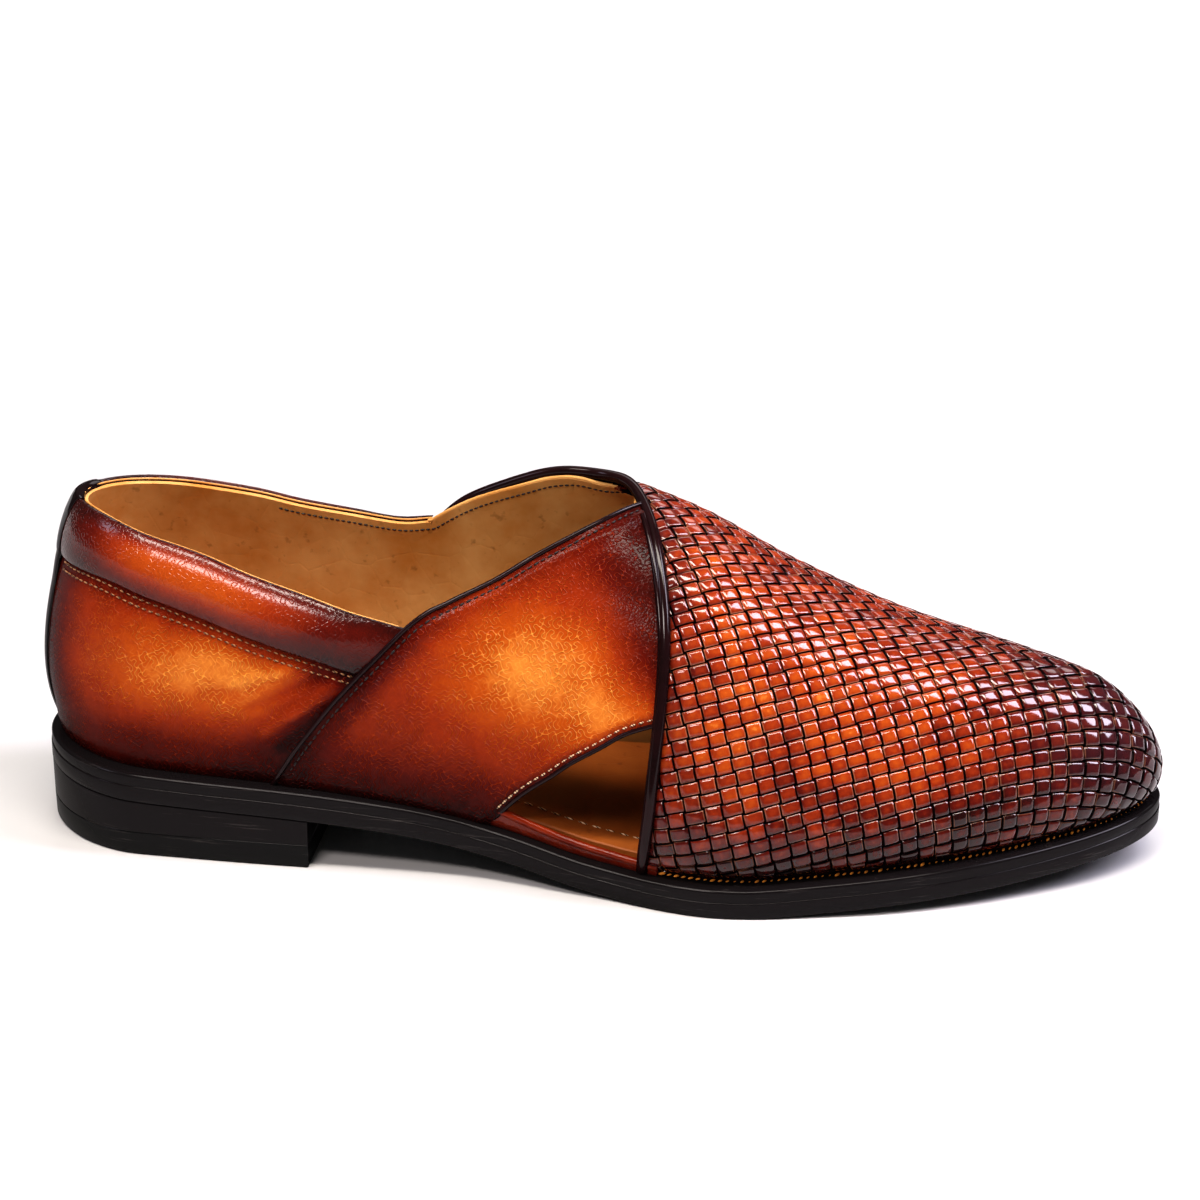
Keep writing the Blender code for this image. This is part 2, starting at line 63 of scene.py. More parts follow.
# ---- The last and the sole, as in the solids -------------------------------

LENGTH = 300.0           # sole, heel to toe
WALL = 2.5               # upper and its lining
GAP = 0.3                # between pieces that rest on each other
OUTSOLE = 4.4            # thickness of the outsole
WELT = 3.3               # thickness of the welt, gap included
TOP_PIECE = 6.4          # ground to the top of the heel's lowest lift
HEEL_BREAST = 77.5       # front of the heel
HEEL_TAPER = 0.4         # how far the heel draws in towards the ground
INSOLE = 3.0
BACKSTAY_HALF = 8.0      # half width of the backstay
BACKSTAY = 1.2           # its thickness

FEATHER_BACK = 3.8       # where the upper meets the welt at the back
FEATHER_TOE = 296.0      # and at the toe
RIDGE_BACK = 28.0        # ends of the line along the top of the last
RIDGE_TOE = 275.0
HEEL_ROUND = 60.0        # behind this station the ribs fan round the heel
TOE_ROUND = 225.0        # in front of this station they fan round the toe
TOE_FALL = 0.42          # slope of the toe's top along the last rib
HEEL_END, HEEL_POWER = 32.0, 2.0     # length and fullness of the sole's round ends
TOE_END, TOE_POWER = 77.0, 2.05
TIP_SWING = 6.0          # the toe tip stands this far to the medial side
SWING_START = 190.0

# Sole edge: distance from the long axis, before the round ends are taken off
SOLE_WIDTHS = {
    "station": (0, 35, 75, 115, 150, 185, 215, 245, 275, 300),
    "lateral": (33.0, 36.5, 38.3, 38.8, 45.0, 53.0, 48.6, 42.3, 37.0, 34.7),
    "medial": (33.0, 34.0, 32.5, 31.0, 36.0, 46.5, 50.0, 46.5, 40.0, 34.0),
}
# Underside of the outsole: heel seat, arch, flat tread, toe spring
BED = {
    "station": (0, 40, 72, 100, 130, 155, 170, 190, 205, 225, 250, 275, 300),
    "height": (16.8, 14.8, 13.6, 11.2, 5.9, 1.0, 0.0, 0.0, 0.8, 2.2, 3.9, 6.0, 9.0),
}
# Welt left bare outside the upper
WELT_LEDGE = {
    "station": (0, 35, 75, 115, 150, 215, 275, 300),
    "width": (6.0, 6.2, 5.6, 4.4, 4.8, 5.4, 4.6, 4.4),
}
# The last: place and height of its top line, fullness of the section (2 is an
# ellipse), and how far the wall swells past the feather line, and at what height
LAST = {
    "station": (28, 60, 100, 130, 150, 175, 200, 230, 255, 275),
    "centre": (0.0, 0.5, 2.5, 4.5, 5.5, 6.0, 6.0, 5.0, 4.0, 3.0),
    "height": (107.0, 110.0, 112.0, 106.5, 97.7, 87.9, 74.7, 62.3, 55.3, 50.5),
    "fullness": (1.93, 1.95, 2.0, 2.0, 2.0, 2.0, 2.0, 2.0, 2.1, 2.2),
    "swell_lateral": (3.5, 3.5, 3.0, 2.5, 2.5, 3.0, 3.0, 3.0, 3.0, 3.5),
    "swell_medial": (3.5, 3.5, 3.0, 3.0, 3.0, 3.5, 3.5, 3.0, 3.0, 3.5),
    "swell_height": (20, 20, 18, 16, 15, 13, 12, 11, 10, 10),
}
BACK_SWELL, BACK_SWELL_HEIGHT, BACK_SWELL_END = 5.0, 24.5, 30.0

# Lines on the last. Station is where the rib leaves the welt; girth is -1 at the
# lateral feather line, 0 on the top line and +1 at the medial feather line.
TOPLINE = {
    "station": (3.8, 15, 33, 48, 61, 75, 88, 100.5, 107, 114, 126, 138, 150, 157, 158.5,
                156.5, 150, 142, 134, 125, 111, 101, 92, 78, 65, 52, 33, 15, 3.8),
    "girth": (-0.43, -0.445, -0.49, -0.53, -0.575, -0.615, -0.65, -0.67, -0.635, -0.60,
              -0.52, -0.405, -0.265, -0.17, -0.09, 0.06, 0.185, 0.245, 0.32, 0.395,
              0.49, 0.56, 0.57, 0.55, 0.525, 0.49, 0.455, 0.435, 0.43),
}
TOPLINE_DIPS = (100.5, 101.0)        # stations of its two corners, lateral and medial
COLLAR_SEAM = {                      # lower edge of the padded collar, either side
    "station": (3.8, 20, 35, 49, 62, 75.5, 88.5, 95),
    "lateral": (-0.59, -0.60, -0.633, -0.670, -0.707, -0.738, -0.762, -0.772),
    "medial": (0.59, 0.595, 0.61, 0.635, 0.66, 0.68, 0.70, 0.71),
}
COLLAR_PAD = {                       # how far the pad stands proud of its edge
    "station": (3.8, 20, 50, 75, 95),
    "pad": (1.0, 1.9, 2.6, 2.5, 1.6),
}
PIPING_LINE = {                      # edge of the woven vamp, over the instep
    "station": (165.6, 166.6, 167.2, 168, 168.4, 168.2, 167, 165, 162.4, 159.3, 155.6,
                149, 141, 133, 124, 111, 101.5, 95, 89, 83, 77, 73),
    "girth": (-0.955, -0.87, -0.80, -0.70, -0.60, -0.50, -0.40, -0.29, -0.18, -0.07, 0.05,
              0.195, 0.262, 0.338, 0.412, 0.508, 0.592, 0.655, 0.725, 0.80, 0.885, 0.945),
}
HALF_GIRTH = 92.0        # length of a long rib from the feather line to the top line
GIRTH_RUN = 90.0         # and of a usual one, to spread points along a straight run


def read(table, column, at):
    """Smooth value of a table's column: cubic, with no overshoot between rows."""
    xs = np.asarray(table["station"], float)
    ys = np.asarray(table[column], float)
    step = np.diff(xs)
    rise = np.diff(ys) / step
    slope = np.zeros_like(ys)
    slope[0] = rise[0]
    slope[-1] = rise[-1]
    for i in range(1, len(xs) - 1):
        if rise[i - 1] * rise[i] > 0:
            before = 2 * step[i] + step[i - 1]
            after = step[i] + 2 * step[i - 1]
            slope[i] = (before + after) / (before / rise[i - 1] + after / rise[i])
    at = np.clip(np.asarray(at, float), xs[0], xs[-1])
    k = np.clip(np.searchsorted(xs, at, side="right") - 1, 0, len(xs) - 2)
    t = (at - xs[k]) / step[k]
    start = (1 + 2 * t) * (1 - t) ** 2 * ys[k] + t * (1 - t) ** 2 * step[k] * slope[k]
    end = t * t * (3 - 2 * t) * ys[k + 1] + t * t * (t - 1) * step[k] * slope[k + 1]
    return start + end


def swing(x):
    """The long axis bends to the medial side towards the toe."""
    return TIP_SWING * np.clip((x - SWING_START) / (LENGTH - SWING_START), 0, 1) ** 2


def round_ends(x, back, toe):
    """1 along the middle of an outline, falling to 0 round its heel and toe."""
    heel = np.clip((back + HEEL_END - x) / HEEL_END, 0, 1) ** HEEL_POWER
    front = np.clip((x - toe + TOE_END) / TOE_END, 0, 1) ** TOE_POWER
    return (1 - heel) ** (1 / HEEL_POWER) * (1 - front) ** (1 / TOE_POWER)


def outline(side, x, back=0.0, toe=LENGTH, inset=0.0):
    """y of an outline like the sole's, drawn in by inset; side is -1 or +1."""
    width = read(SOLE_WIDTHS, "medial" if side > 0 else "lateral", x) - inset
    return swing(x) + side * width * round_ends(x, back, toe)


def bed(x):
    return read(BED, "height", x)


def welt_top(x):
    return bed(x) + OUTSOLE + WELT


def even_stations(count, back, toe):
    """Stations that crowd towards both round ends."""
    turn = np.linspace(0, math.pi, count)
    return back + (toe - back) * (1 - np.cos(turn)) / 2


def last_point(station, girth):
    """Point of the upper's outer face, as rows of x, y, z; it runs on below the feather line."""
    station, girth = np.broadcast_arrays(np.asarray(station, float), np.asarray(girth, float))
    medial = girth > 0
    inset = read(WELT_LEDGE, "width", station)
    foot_y = np.where(medial, outline(1, station, FEATHER_BACK, FEATHER_TOE, inset),
                      outline(-1, station, FEATHER_BACK, FEATHER_TOE, inset))
    foot_z = welt_top(station) + GAP
    fan_back = (RIDGE_BACK - FEATHER_BACK) / (HEEL_ROUND - FEATHER_BACK) ** 2
    fan_toe = (FEATHER_TOE - RIDGE_TOE) / (FEATHER_TOE - TOE_ROUND) ** 2
    top_x = (station + fan_back * np.clip(HEEL_ROUND - station, 0, None) ** 2
             - fan_toe * np.clip(station - TOE_ROUND, 0, None) ** 2)
    top_y = read(LAST, "centre", top_x)
    top_z = read(LAST, "height", top_x)
    full = read(LAST, "fullness", top_x)
    swell = np.where(medial, read(LAST, "swell_medial", top_x), read(LAST, "swell_lateral", top_x))
    swell_z = read(LAST, "swell_height", top_x)
    heel = np.clip((BACK_SWELL_END - station) / (BACK_SWELL_END - FEATHER_BACK), 0, 1) ** 2
    swell = swell + (BACK_SWELL - swell) * heel
    swell_z = swell_z + (BACK_SWELL_HEIGHT - swell_z) * heel

    turn = (1 - np.abs(girth)) * math.pi / 2
    reach = np.abs(np.cos(turn)) ** (2 / full)
    rise = np.sign(turn) * np.abs(np.sin(turn)) ** (2 / full)
    out_x = station - top_x
    out_y = foot_y - top_y
    span = np.hypot(out_x, out_y) + 1e-9
    height = rise * (top_z - foot_z)
    bulge = swell * height / swell_z * np.exp(1 - np.maximum(height, 0) / swell_z)
    fall = TOE_FALL * np.clip((station - TOE_ROUND) / (FEATHER_TOE - TOE_ROUND), 0, 1)
    x = top_x + (reach + bulge / span) * out_x
    y = top_y + (reach + bulge / span) * out_y
    z = foot_z + height - fall * reach * out_x * rise ** 2
    return np.stack([x, y, z], axis=-1)


def smooth_line(table, spacing, corners=()):
    """Rows of station and girth along a table's line, about spacing mm apart.

    The line is a Catmull-Rom curve through the rows, broken at the corner stations."""
    rows = np.stack([table["station"], table["girth"]], axis=1).astype(float)
    places = last_point(rows[:, 0], rows[:, 1])
    result = [rows[0]]
    last = len(rows) - 1
    for i in range(last):
        sharp_a = i == 0 or any(abs(rows[i][0] - c) < 0.01 for c in corners)
        sharp_b = i + 1 == last or any(abs(rows[i + 1][0] - c) < 0.01 for c in corners)
        chord = rows[i + 1] - rows[i]
        slope_a = chord if sharp_a else (rows[i + 1] - rows[i - 1]) / 2
        slope_b = chord if sharp_b else (rows[i + 2] - rows[i]) / 2
        count = max(1, round(np.linalg.norm(places[i + 1] - places[i]) / spacing))
        for k in range(1, count + 1):
            t = k / count
            point = ((1 + 2 * t) * (1 - t) ** 2 * rows[i] + t * (1 - t) ** 2 * slope_a
                     + t * t * (3 - 2 * t) * rows[i + 1] + t * t * (t - 1) * slope_b)
            result.append(point)
    return np.array(result)


def place(points):
    """Shoe millimetres to the part's frame: origin under the middle of its box."""
    x = even_stations(400, 0, LENGTH)
    middle_y = (outline(-1, x).min() + outline(1, x).max()) / 2
    back = last_point(FEATHER_BACK, np.linspace(-1, -0.5, 60))[:, 0].min() - GAP - BACKSTAY
    shift = np.array([(LENGTH + back) / 2, middle_y, 0.0])
    return (np.asarray(points, float) - shift) * MM


# ---- Places, lines and meshes ----------------------------------------------

def turn_of(station):
    """Turn of the rib at a station."""
    share = (np.asarray(station, float) - FEATHER_BACK) / (FEATHER_TOE - FEATHER_BACK)
    return np.arccos(np.clip(1 - 2 * share, -1, 1))


def station_of(turn):
    return FEATHER_BACK + (FEATHER_TOE - FEATHER_BACK) * (1 - np.cos(turn)) / 2


def surface(turn, girth):
    """Point of the last; a turn past either end carries on round the other side."""
    turn, girth = np.broadcast_arrays(np.asarray(turn, float), np.asarray(girth, float))
    over = (turn > math.pi) | (turn < 0)
    turn = np.where(turn > math.pi, TAU - turn, np.abs(turn))
    return last_point(station_of(turn), np.where(over, -girth, girth))


def outward(turn, girth):
    """Unit normal of the last, pointing out of the shoe."""
    turn, girth = np.broadcast_arrays(np.asarray(turn, float), np.asarray(girth, float))
    step = 0.004
    along = surface(turn + step, girth) - surface(turn - step, girth)
    across = surface(turn, girth + step) - surface(turn, girth - step)
    normal = np.cross(along, across)
    over = (turn > math.pi) | (turn < 0)
    normal = np.where(over[..., None], -normal, normal)
    return normal / (np.linalg.norm(normal, axis=-1, keepdims=True) + 1e-12)


def off_last(line, lift=0.0):
    """Points a given height off the last along rows of turn and girth."""
    line = np.asarray(line, float)
    lift = np.broadcast_to(np.asarray(lift, float), line.shape[:-1])
    turn, girth = line[..., 0], line[..., 1]
    return surface(turn, girth) + outward(turn, girth) * lift[..., None]


def on_last(line):
    """Points of the last along rows of turn and girth."""
    return surface(line[:, 0], line[:, 1])


def above_welt(points, turn):
    """Height of points of the upper over the welt."""
    return points[..., 2] - welt_top(station_of(turn))


def table_line(table, spacing=1.0, corners=()):
    """Rows of turn and girth along a table's line."""
    rows = smooth_line(table, spacing, corners)
    return np.stack([turn_of(rows[:, 0]), rows[:, 1]], axis=1)


def straight(rows, count=60):
    """Rows of turn and girth along straight runs between rows of station and girth."""
    rows = np.asarray(rows, float)
    run = np.hypot(*np.diff(rows * (1, GIRTH_RUN), axis=0).T)
    reach = np.concatenate([[0], np.cumsum(run)])
    at = np.linspace(0, reach[-1], count)
    station, girth = [np.interp(at, reach, column) for column in rows.T]
    return np.stack([turn_of(station), girth], axis=1)


def spread(a, b):
    """Signed area between two flat vectors."""
    return a[..., 0] * b[..., 1] - a[..., 1] * b[..., 0]


def lengths(points):
    return np.concatenate([[0], np.cumsum(np.linalg.norm(np.diff(points, axis=0), axis=1))])


def shares(line, at):
    """Rows at shares (0 to 1) of a line's real length."""
    run = lengths(on_last(line))
    return np.stack([np.interp(np.asarray(at) * run[-1], run, column) for column in line.T], axis=1)


def fill(bottom, top, left, right, across, up):
    """Grid of turns and girths stretched between four border lines."""
    low, high = shares(bottom, across), shares(top, across)
    near, far = shares(left, up), shares(right, up)
    a = np.asarray(across)[:, None, None]
    b = np.asarray(up)[None, :, None]
    corners = ((1 - a) * (1 - b) * low[0] + a * (1 - b) * low[-1]
               + (1 - a) * b * high[0] + a * b * high[-1])
    grid = ((1 - b) * low[:, None] + b * high[:, None]
            + (1 - a) * near[None] + a * far[None] - corners)
    return grid[..., 0], grid[..., 1]


def steps(count, fine=0.004, rows=3, ends=(True, True)):
    """Shares from 0 to 1 with a few extra close to either end, for a rounded edge."""
    near = fine * (np.arange(1, rows + 1) / rows) ** 1.3
    middle = np.linspace(0, 1, count)
    middle = middle[(middle > fine * 1.4) & (middle < 1 - fine * 1.4)]
    return np.concatenate([[0], near if ends[0] else [], middle,
                           1 - near[::-1] if ends[1] else [], [1]])


def ease(low, high, value):
    """Smooth rise from 0 at low to 1 at high."""
    t = np.clip((np.asarray(value, float) - low) / (high - low), 0, 1)
    return t * t * (3 - 2 * t)


def beside(line, gap):
    """Rows of turn and girth a given distance to the left of a line, seen from outside."""
    turn, girth = line[:, 0], line[:, 1]
    step = 0.002
    by_turn = (surface(turn + step, girth) - surface(turn - step, girth)) / (2 * step)
    by_girth = (surface(turn, girth + step) - surface(turn, girth - step)) / (2 * step)
    points = surface(turn, girth)
    ahead = np.gradient(points, axis=0)
    side = np.cross(outward(turn, girth), ahead)
    side /= np.linalg.norm(side, axis=1, keepdims=True)
    move = side * np.broadcast_to(gap, turn.shape)[:, None]
    tt, tg, gg = ((by_turn ** 2).sum(1), (by_turn * by_girth).sum(1), (by_girth ** 2).sum(1))
    mt, mg = (by_turn * move).sum(1), (by_girth * move).sum(1)
    area = tt * gg - tg ** 2
    return line + np.stack([(mt * gg - mg * tg) / area, (mg * tt - mt * tg) / area], axis=1)


def gap_to(points, line):
    """Distance in mm from points to a line on the last."""
    marks = on_last(line)
    flat = points.reshape(-1, 3)
    parts = [np.sqrt(((part[:, None] - marks) ** 2).sum(-1).min(1))
             for part in np.array_split(flat, len(flat) // 20000 + 1)]
    return np.concatenate(parts).reshape(points.shape[:-1])


def stained(base, *darker):
    """Burnish of a base tone, made darker by each share in turn."""
    light = 1 - base
    for share in darker:
        light = light * (1 - share)
    return 1 - light


def near_line(points, line, reach):
    """1 on a line of the last, falling smoothly to 0 at a reach in mm."""
    return 1 - ease(0, reach, gap_to(points, line))


def grid_faces(rows, cols):
    index = np.arange(rows * cols).reshape(rows, cols)
    return np.stack([index[:-1, :-1], index[1:, :-1], index[1:, 1:], index[:-1, 1:]],
                    axis=-1).reshape(-1, 4)


def welded(points):
    """For each point, the number of its place, and the first point at each place."""
    _, first, number = np.unique(np.round(points, 3), axis=0, return_index=True,
                                 return_inverse=True)
    return number.ravel(), first


def skin_normals(points, faces):
    """Outward unit normals of an open skin of the shoe, shared by points in one place."""
    corner = points[faces]
    face = np.cross(corner[:, 2] - corner[:, 0], corner[:, 3] - corner[:, 1])
    number, first = welded(points)
    total = np.zeros((len(first), 3))
    for k in range(4):
        np.add.at(total, number[faces[:, k]], face)
    normal = total[number]
    normal /= np.linalg.norm(normal, axis=1, keepdims=True) + 1e-12
    middle = points * (1, 0, 0) + (0, 3, 35)
    return normal if (normal * (points - middle)).sum() > 0 else -normal


def in_scene(name, data):
    """New object of that data, in the scene."""
    thing = bpy.data.objects.new(name, data)
    bpy.context.scene.collection.objects.link(thing)
    return thing


def new_piece(name, points, faces, finish, smooth=50.0, layers=None, uv=None):
    """One mesh piece from points in shoe millimetres, with doubles welded."""
    number, first = welded(points)
    rings = [[int(number[i]) for i in face] for face in faces]
    rings = [[v for k, v in enumerate(ring) if v != ring[k - 1]] for ring in rings]
    mesh = bpy.data.meshes.new(name)
    mesh.from_pydata(place(points[first]).tolist(), [],
                     [ring for ring in rings if len(set(ring)) == len(ring) > 2])
    for key, values in (layers or {}).items():
        layer = mesh.attributes.new(key, "FLOAT", "POINT")
        layer.data.foreach_set("value", np.ravel(values)[first].astype(np.float32))
    if uv is not None:
        loops = np.empty(len(mesh.loops), np.int32)
        mesh.loops.foreach_get("vertex_index", loops)
        chart = mesh.uv_layers.new(name="strip")
        chart.data.foreach_set("uv", uv[first][loops].astype(np.float32).ravel())
    work = bmesh.new()
    work.from_mesh(mesh)
    bmesh.ops.recalc_face_normals(work, faces=work.faces)
    work.to_mesh(mesh)
    work.free()
    mesh.shade_smooth()
    mesh.set_sharp_from_angle(angle=math.radians(smooth))
    mesh.materials.append(finish)
    return in_scene(name, mesh)


def shell(name, finish, turn, girth, outer, inner, layers=None):
    """Closed leather piece between two heights off the last, on a grid of places."""
    base = surface(turn, girth).reshape(-1, 3)
    quads = grid_faces(*turn.shape)
    normal = skin_normals(base, quads)
    high = np.broadcast_to(outer, turn.shape).reshape(-1, 1)
    low = np.broadcast_to(inner, turn.shape).reshape(-1, 1)
    points = np.concatenate([base + normal * high, base + normal * low])
    count = len(base)
    number, _ = welded(base)
    uses = {}
    for quad in quads:
        for a, b in zip(quad, np.roll(quad, -1)):
            pair = (min(number[a], number[b]), max(number[a], number[b]))
            uses.setdefault(pair, []).append((a, b))
    rim = [(b, a, a + count, b + count) for pair, found in uses.items()
           if len(found) == 1 and pair[0] != pair[1] for a, b in found]
    faces = list(map(tuple, quads)) + [tuple(quad[::-1] + count) for quad in quads] + rim
    doubled = {key: np.tile(np.ravel(values), 2) for key, values in (layers or {}).items()}
    return new_piece(name, points, faces, finish, layers=doubled)


def finish_piece(piece, slot, *nodes):
    """Rides a finished piece on the shoe and hides the solids it stands for."""
    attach(piece, "root")
    if nodes:
        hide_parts(*nodes)
    return piece


# ---- Node trees ------------------------------------------------------------

def plug(node, *inputs, **named):
    """Fills or links a node's inputs, in the order of its sockets or by name. A node given as
    an input stands for its first output."""
    pairs = list(zip([socket for socket in node.inputs if socket.enabled], inputs))
    pairs += [(node.inputs[key.replace("_", " ")], value) for key, value in named.items()]
    for socket, value in pairs:
        if isinstance(value, bpy.types.Node):
            value = next(output for output in value.outputs if output.enabled)
        if isinstance(value, bpy.types.NodeSocket):
            node.id_data.links.new(value, socket)
        else:
            socket.default_value = value
    return node


def add_node(tree, kind, *inputs, stops=(), **named):
    """Adds a node. Names with a capital letter are its inputs and the others its settings;
    stops are the places and hex colours of a colour ramp."""
    node = tree.nodes.new(kind if "Node" in kind else "ShaderNode" + kind)
    for key, value in named.items():
        if key.islower():
            setattr(node, key, value)
    for k, (at, colour) in enumerate(stops):
        marks = node.color_ramp.elements
        mark = marks[k] if k < len(marks) else marks.new(at)
        mark.position, mark.color = at, linear(colour)
    return plug(node, *inputs, **{key: named[key] for key in named if not key.islower()})


def new_tree(name, **sockets):
    """Geometry tree whose inputs are a geometry, named numbers and a finish: the tree, the
    function that adds a node to it, and its inputs."""
    tree = bpy.data.node_groups.new(name, "GeometryNodeTree")
    tree.interface.new_socket("Geometry", in_out="INPUT", socket_type="NodeSocketGeometry")
    for label, default in sockets.items():
        kind = "NodeSocketInt" if isinstance(default, int) else "NodeSocketFloat"
        tree.interface.new_socket(label, in_out="INPUT", socket_type=kind).default_value = default
    tree.interface.new_socket("Finish", in_out="INPUT", socket_type="NodeSocketMaterial")
    tree.interface.new_socket("Geometry", in_out="OUTPUT", socket_type="NodeSocketGeometry")
    return tree, partial(add_node, tree), add_node(tree, "NodeGroupInput").outputs


def end_tree(node, geometry, given):
    """Ends a tree: real geometry, dressed in the finish it is given."""
    real = node("GeometryNodeRealizeInstances", geometry)
    dressed = node("GeometryNodeSetMaterial", real, Material=given["Finish"])
    node("NodeGroupOutput", dressed)


def cord_tree():
    """A round cord along a path: radius, which the path's own scale varies, and sides."""
    tree, node, given = new_tree("Cord along a path", Radius=0.001, Sides=10)
    path = node("GeometryNodeMeshToCurve", given["Geometry"])
    scale = node("GeometryNodeInputNamedAttribute", "scale")
    path = node("GeometryNodeSetCurveRadius", path, Radius=scale)
    ring = node("GeometryNodeCurvePrimitiveCircle", given["Sides"], Radius=given["Radius"])
    end_tree(node, node("GeometryNodeCurveToMesh", path, ring, Fill_Caps=True), given)
    return tree


def stitch_tree():
    """Stitches along a path: their pitch, length, thickness and slant, and how uneven they are."""
    tree, node, given = new_tree("Stitches along a path", Pitch=0.0025, Length=0.002,
                                 Thickness=0.0006, Slant=0.0, Uneven=0.1)
    path = node("GeometryNodeMeshToCurve", given["Geometry"])
    marks = node("GeometryNodeResampleCurve", path, Length=given["Pitch"], mode="LENGTH")
    ball = node("GeometryNodeMeshUVSphere", Segments=6, Rings=5, Radius=0.5)
    size = node("CombineXYZ", given["Length"], given["Thickness"], given["Thickness"])
    slant = node("CombineXYZ", Z=given["Slant"])
    shape = node("GeometryNodeTransform", ball, Rotation=slant, Scale=size)
    tangent = node("GeometryNodeInputTangent")
    spin = node("FunctionNodeAlignEulerToVector", Vector=tangent, axis="X")
    least = node("Math", 1.0, given["Uneven"], operation="SUBTRACT")
    most = node("Math", 1.0, given["Uneven"], operation="ADD")
    grown = node("FunctionNodeRandomValue", least, most, Seed=5, data_type="FLOAT")
    end_tree(node, node("GeometryNodeInstanceOnPoints", marks, Instance=shape, Rotation=spin,
                        Scale=grown), given)
    return tree


def grow(name, tree, paths, **settings):
    """Plain mesh that a node tree makes along paths of points in shoe millimetres.
    A fourth column scales a cord's radius."""
    verts, edges, scale = [], [], []
    for path in paths:
        start = len(verts)
        verts += place(path[:, :3]).tolist()
        scale += path[:, 3].tolist() if path.shape[1] > 3 else [1.0] * len(path)
        edges += [(start + k, start + k + 1) for k in range(len(path) - 1)]
    mesh = bpy.data.meshes.new(name + "_path")
    mesh.from_pydata(verts, edges, [])
    mesh.attributes.new("scale", "FLOAT", "POINT").data.foreach_set("value", scale)
    guide = in_scene(name + "_path", mesh)
    grower = guide.modifiers.new("grow", "NODES")
    grower.node_group = tree
    for item in tree.interface.items_tree:
        if item.in_out == "INPUT" and item.name in settings:
            grower[item.identifier] = settings[item.name]
    depsgraph = bpy.context.evaluated_depsgraph_get()
    result = bpy.data.meshes.new_from_object(guide.evaluated_get(depsgraph))
    result.name = name
    bpy.data.objects.remove(guide)
    result.shade_smooth()
    return in_scene(name, result)


# ---- The woven vamp --------------------------------------------------------

SHEET_LINES, SHEET_COLUMNS = 41, 44      # the sheet's mesh: lines of girth, places along each
SHEET_MARGIN, SHEET_GIRTH = 9.0, 1.08    # it reaches this far past the piping and the feather line
LEVELLING = 60                           # rounds that lay the sheet flat
LATTICE = 4                              # grid points per crossing
MARKS = 16                               # marks per crossing where a strip is tested
SHORTEST, SLACK = 8, 15                  # marks: the shortest strip, and how far its sides
#                                          may run on past its middle

# Across a strip, in half widths and in mm: a flat crown, rounded shoulders, a flat underside
STRIP_ACROSS = np.array([-1.0, -0.88, -0.50, 0.50, 0.88, 1.0, 0.93, -0.93])
STRIP_CROWN = np.array([-0.40, 0.01, 0.08, 0.08, 0.01, -0.40, -1.0, -1.0])
# Along it, in crossings from the middle of each
STRIP_ALONG = (-0.5, -0.41, -0.22, 0.0, 0.22, 0.41)


def piping_station(girth):
    """Station of the piping at a girth, carried on a little past its ends."""
    return np.interp(girth, (-1.1,) + PIPING_LINE["girth"] + (1.1,),
                     (165.4,) + PIPING_LINE["station"] + (60.0,))


def vamp_sheet():
    """The vamp as a sheet of small triangles: the turn and girth of each point, the triangles,
    and where each point lies once the sheet is laid out flat on its side of the ridge."""
    girths = np.linspace(-SHEET_GIRTH, SHEET_GIRTH, SHEET_LINES)
    places = np.empty((SHEET_LINES, SHEET_COLUMNS, 2))
    for row, girth in zip(places, girths):
        turn = np.linspace(turn_of(piping_station(girth) - SHEET_MARGIN), math.pi, 200)
        run = lengths(surface(turn, girth))
        row[:, 0] = np.interp(np.linspace(0, run[-1], SHEET_COLUMNS), run, turn)
        row[:, 1] = girth
    turn, girth = places[..., 0], places[..., 1]
    ridge_turn = np.linspace(turn_of(30.0), math.pi, 600)
    ridge = surface(ridge_turn, 0.0)
    top = np.stack([np.interp(turn, ridge_turn, ridge[:, k]) for k in range(3)], axis=-1)
    foot = surface(turn, np.where(girth > 0, 1.0, -1.0))
    fan = foot[..., :2] - top[..., :2]
    fan /= np.linalg.norm(fan, axis=-1, keepdims=True)
    reach = np.zeros_like(turn)
    before = surface(turn, 0.0)
    for share in np.linspace(0, 1, 25)[1:]:
        here = surface(turn, girth * share)
        reach += np.linalg.norm(here - before, axis=-1)
        before = here
    start = np.stack([np.interp(turn, ridge_turn, lengths(ridge)), np.zeros_like(turn)], axis=-1)
    start += fan * reach[..., None]
    quads = grid_faces(SHEET_LINES, SHEET_COLUMNS)
    lateral = quads[:, 0] < SHEET_LINES // 2 * SHEET_COLUMNS
    a, b, c, d = quads.T
    triangles = np.concatenate([
        np.stack([a, b, c], 1)[lateral], np.stack([a, c, d], 1)[lateral],
        np.stack([a, b, d], 1)[~lateral], np.stack([b, c, d], 1)[~lateral]])
    places = places.reshape(-1, 2)
    points = surface(places[:, 0], places[:, 1])
    number, first = welded(points)
    joined = number[triangles]
    real = ((joined[:, 0] != joined[:, 1]) & (joined[:, 1] != joined[:, 2])
            & (joined[:, 0] != joined[:, 2]))
    triangles, joined = triangles[real], joined[real]
    flat = lay_flat(points[first], joined, start.reshape(-1, 2)[first])
    return places, triangles, flat[number]


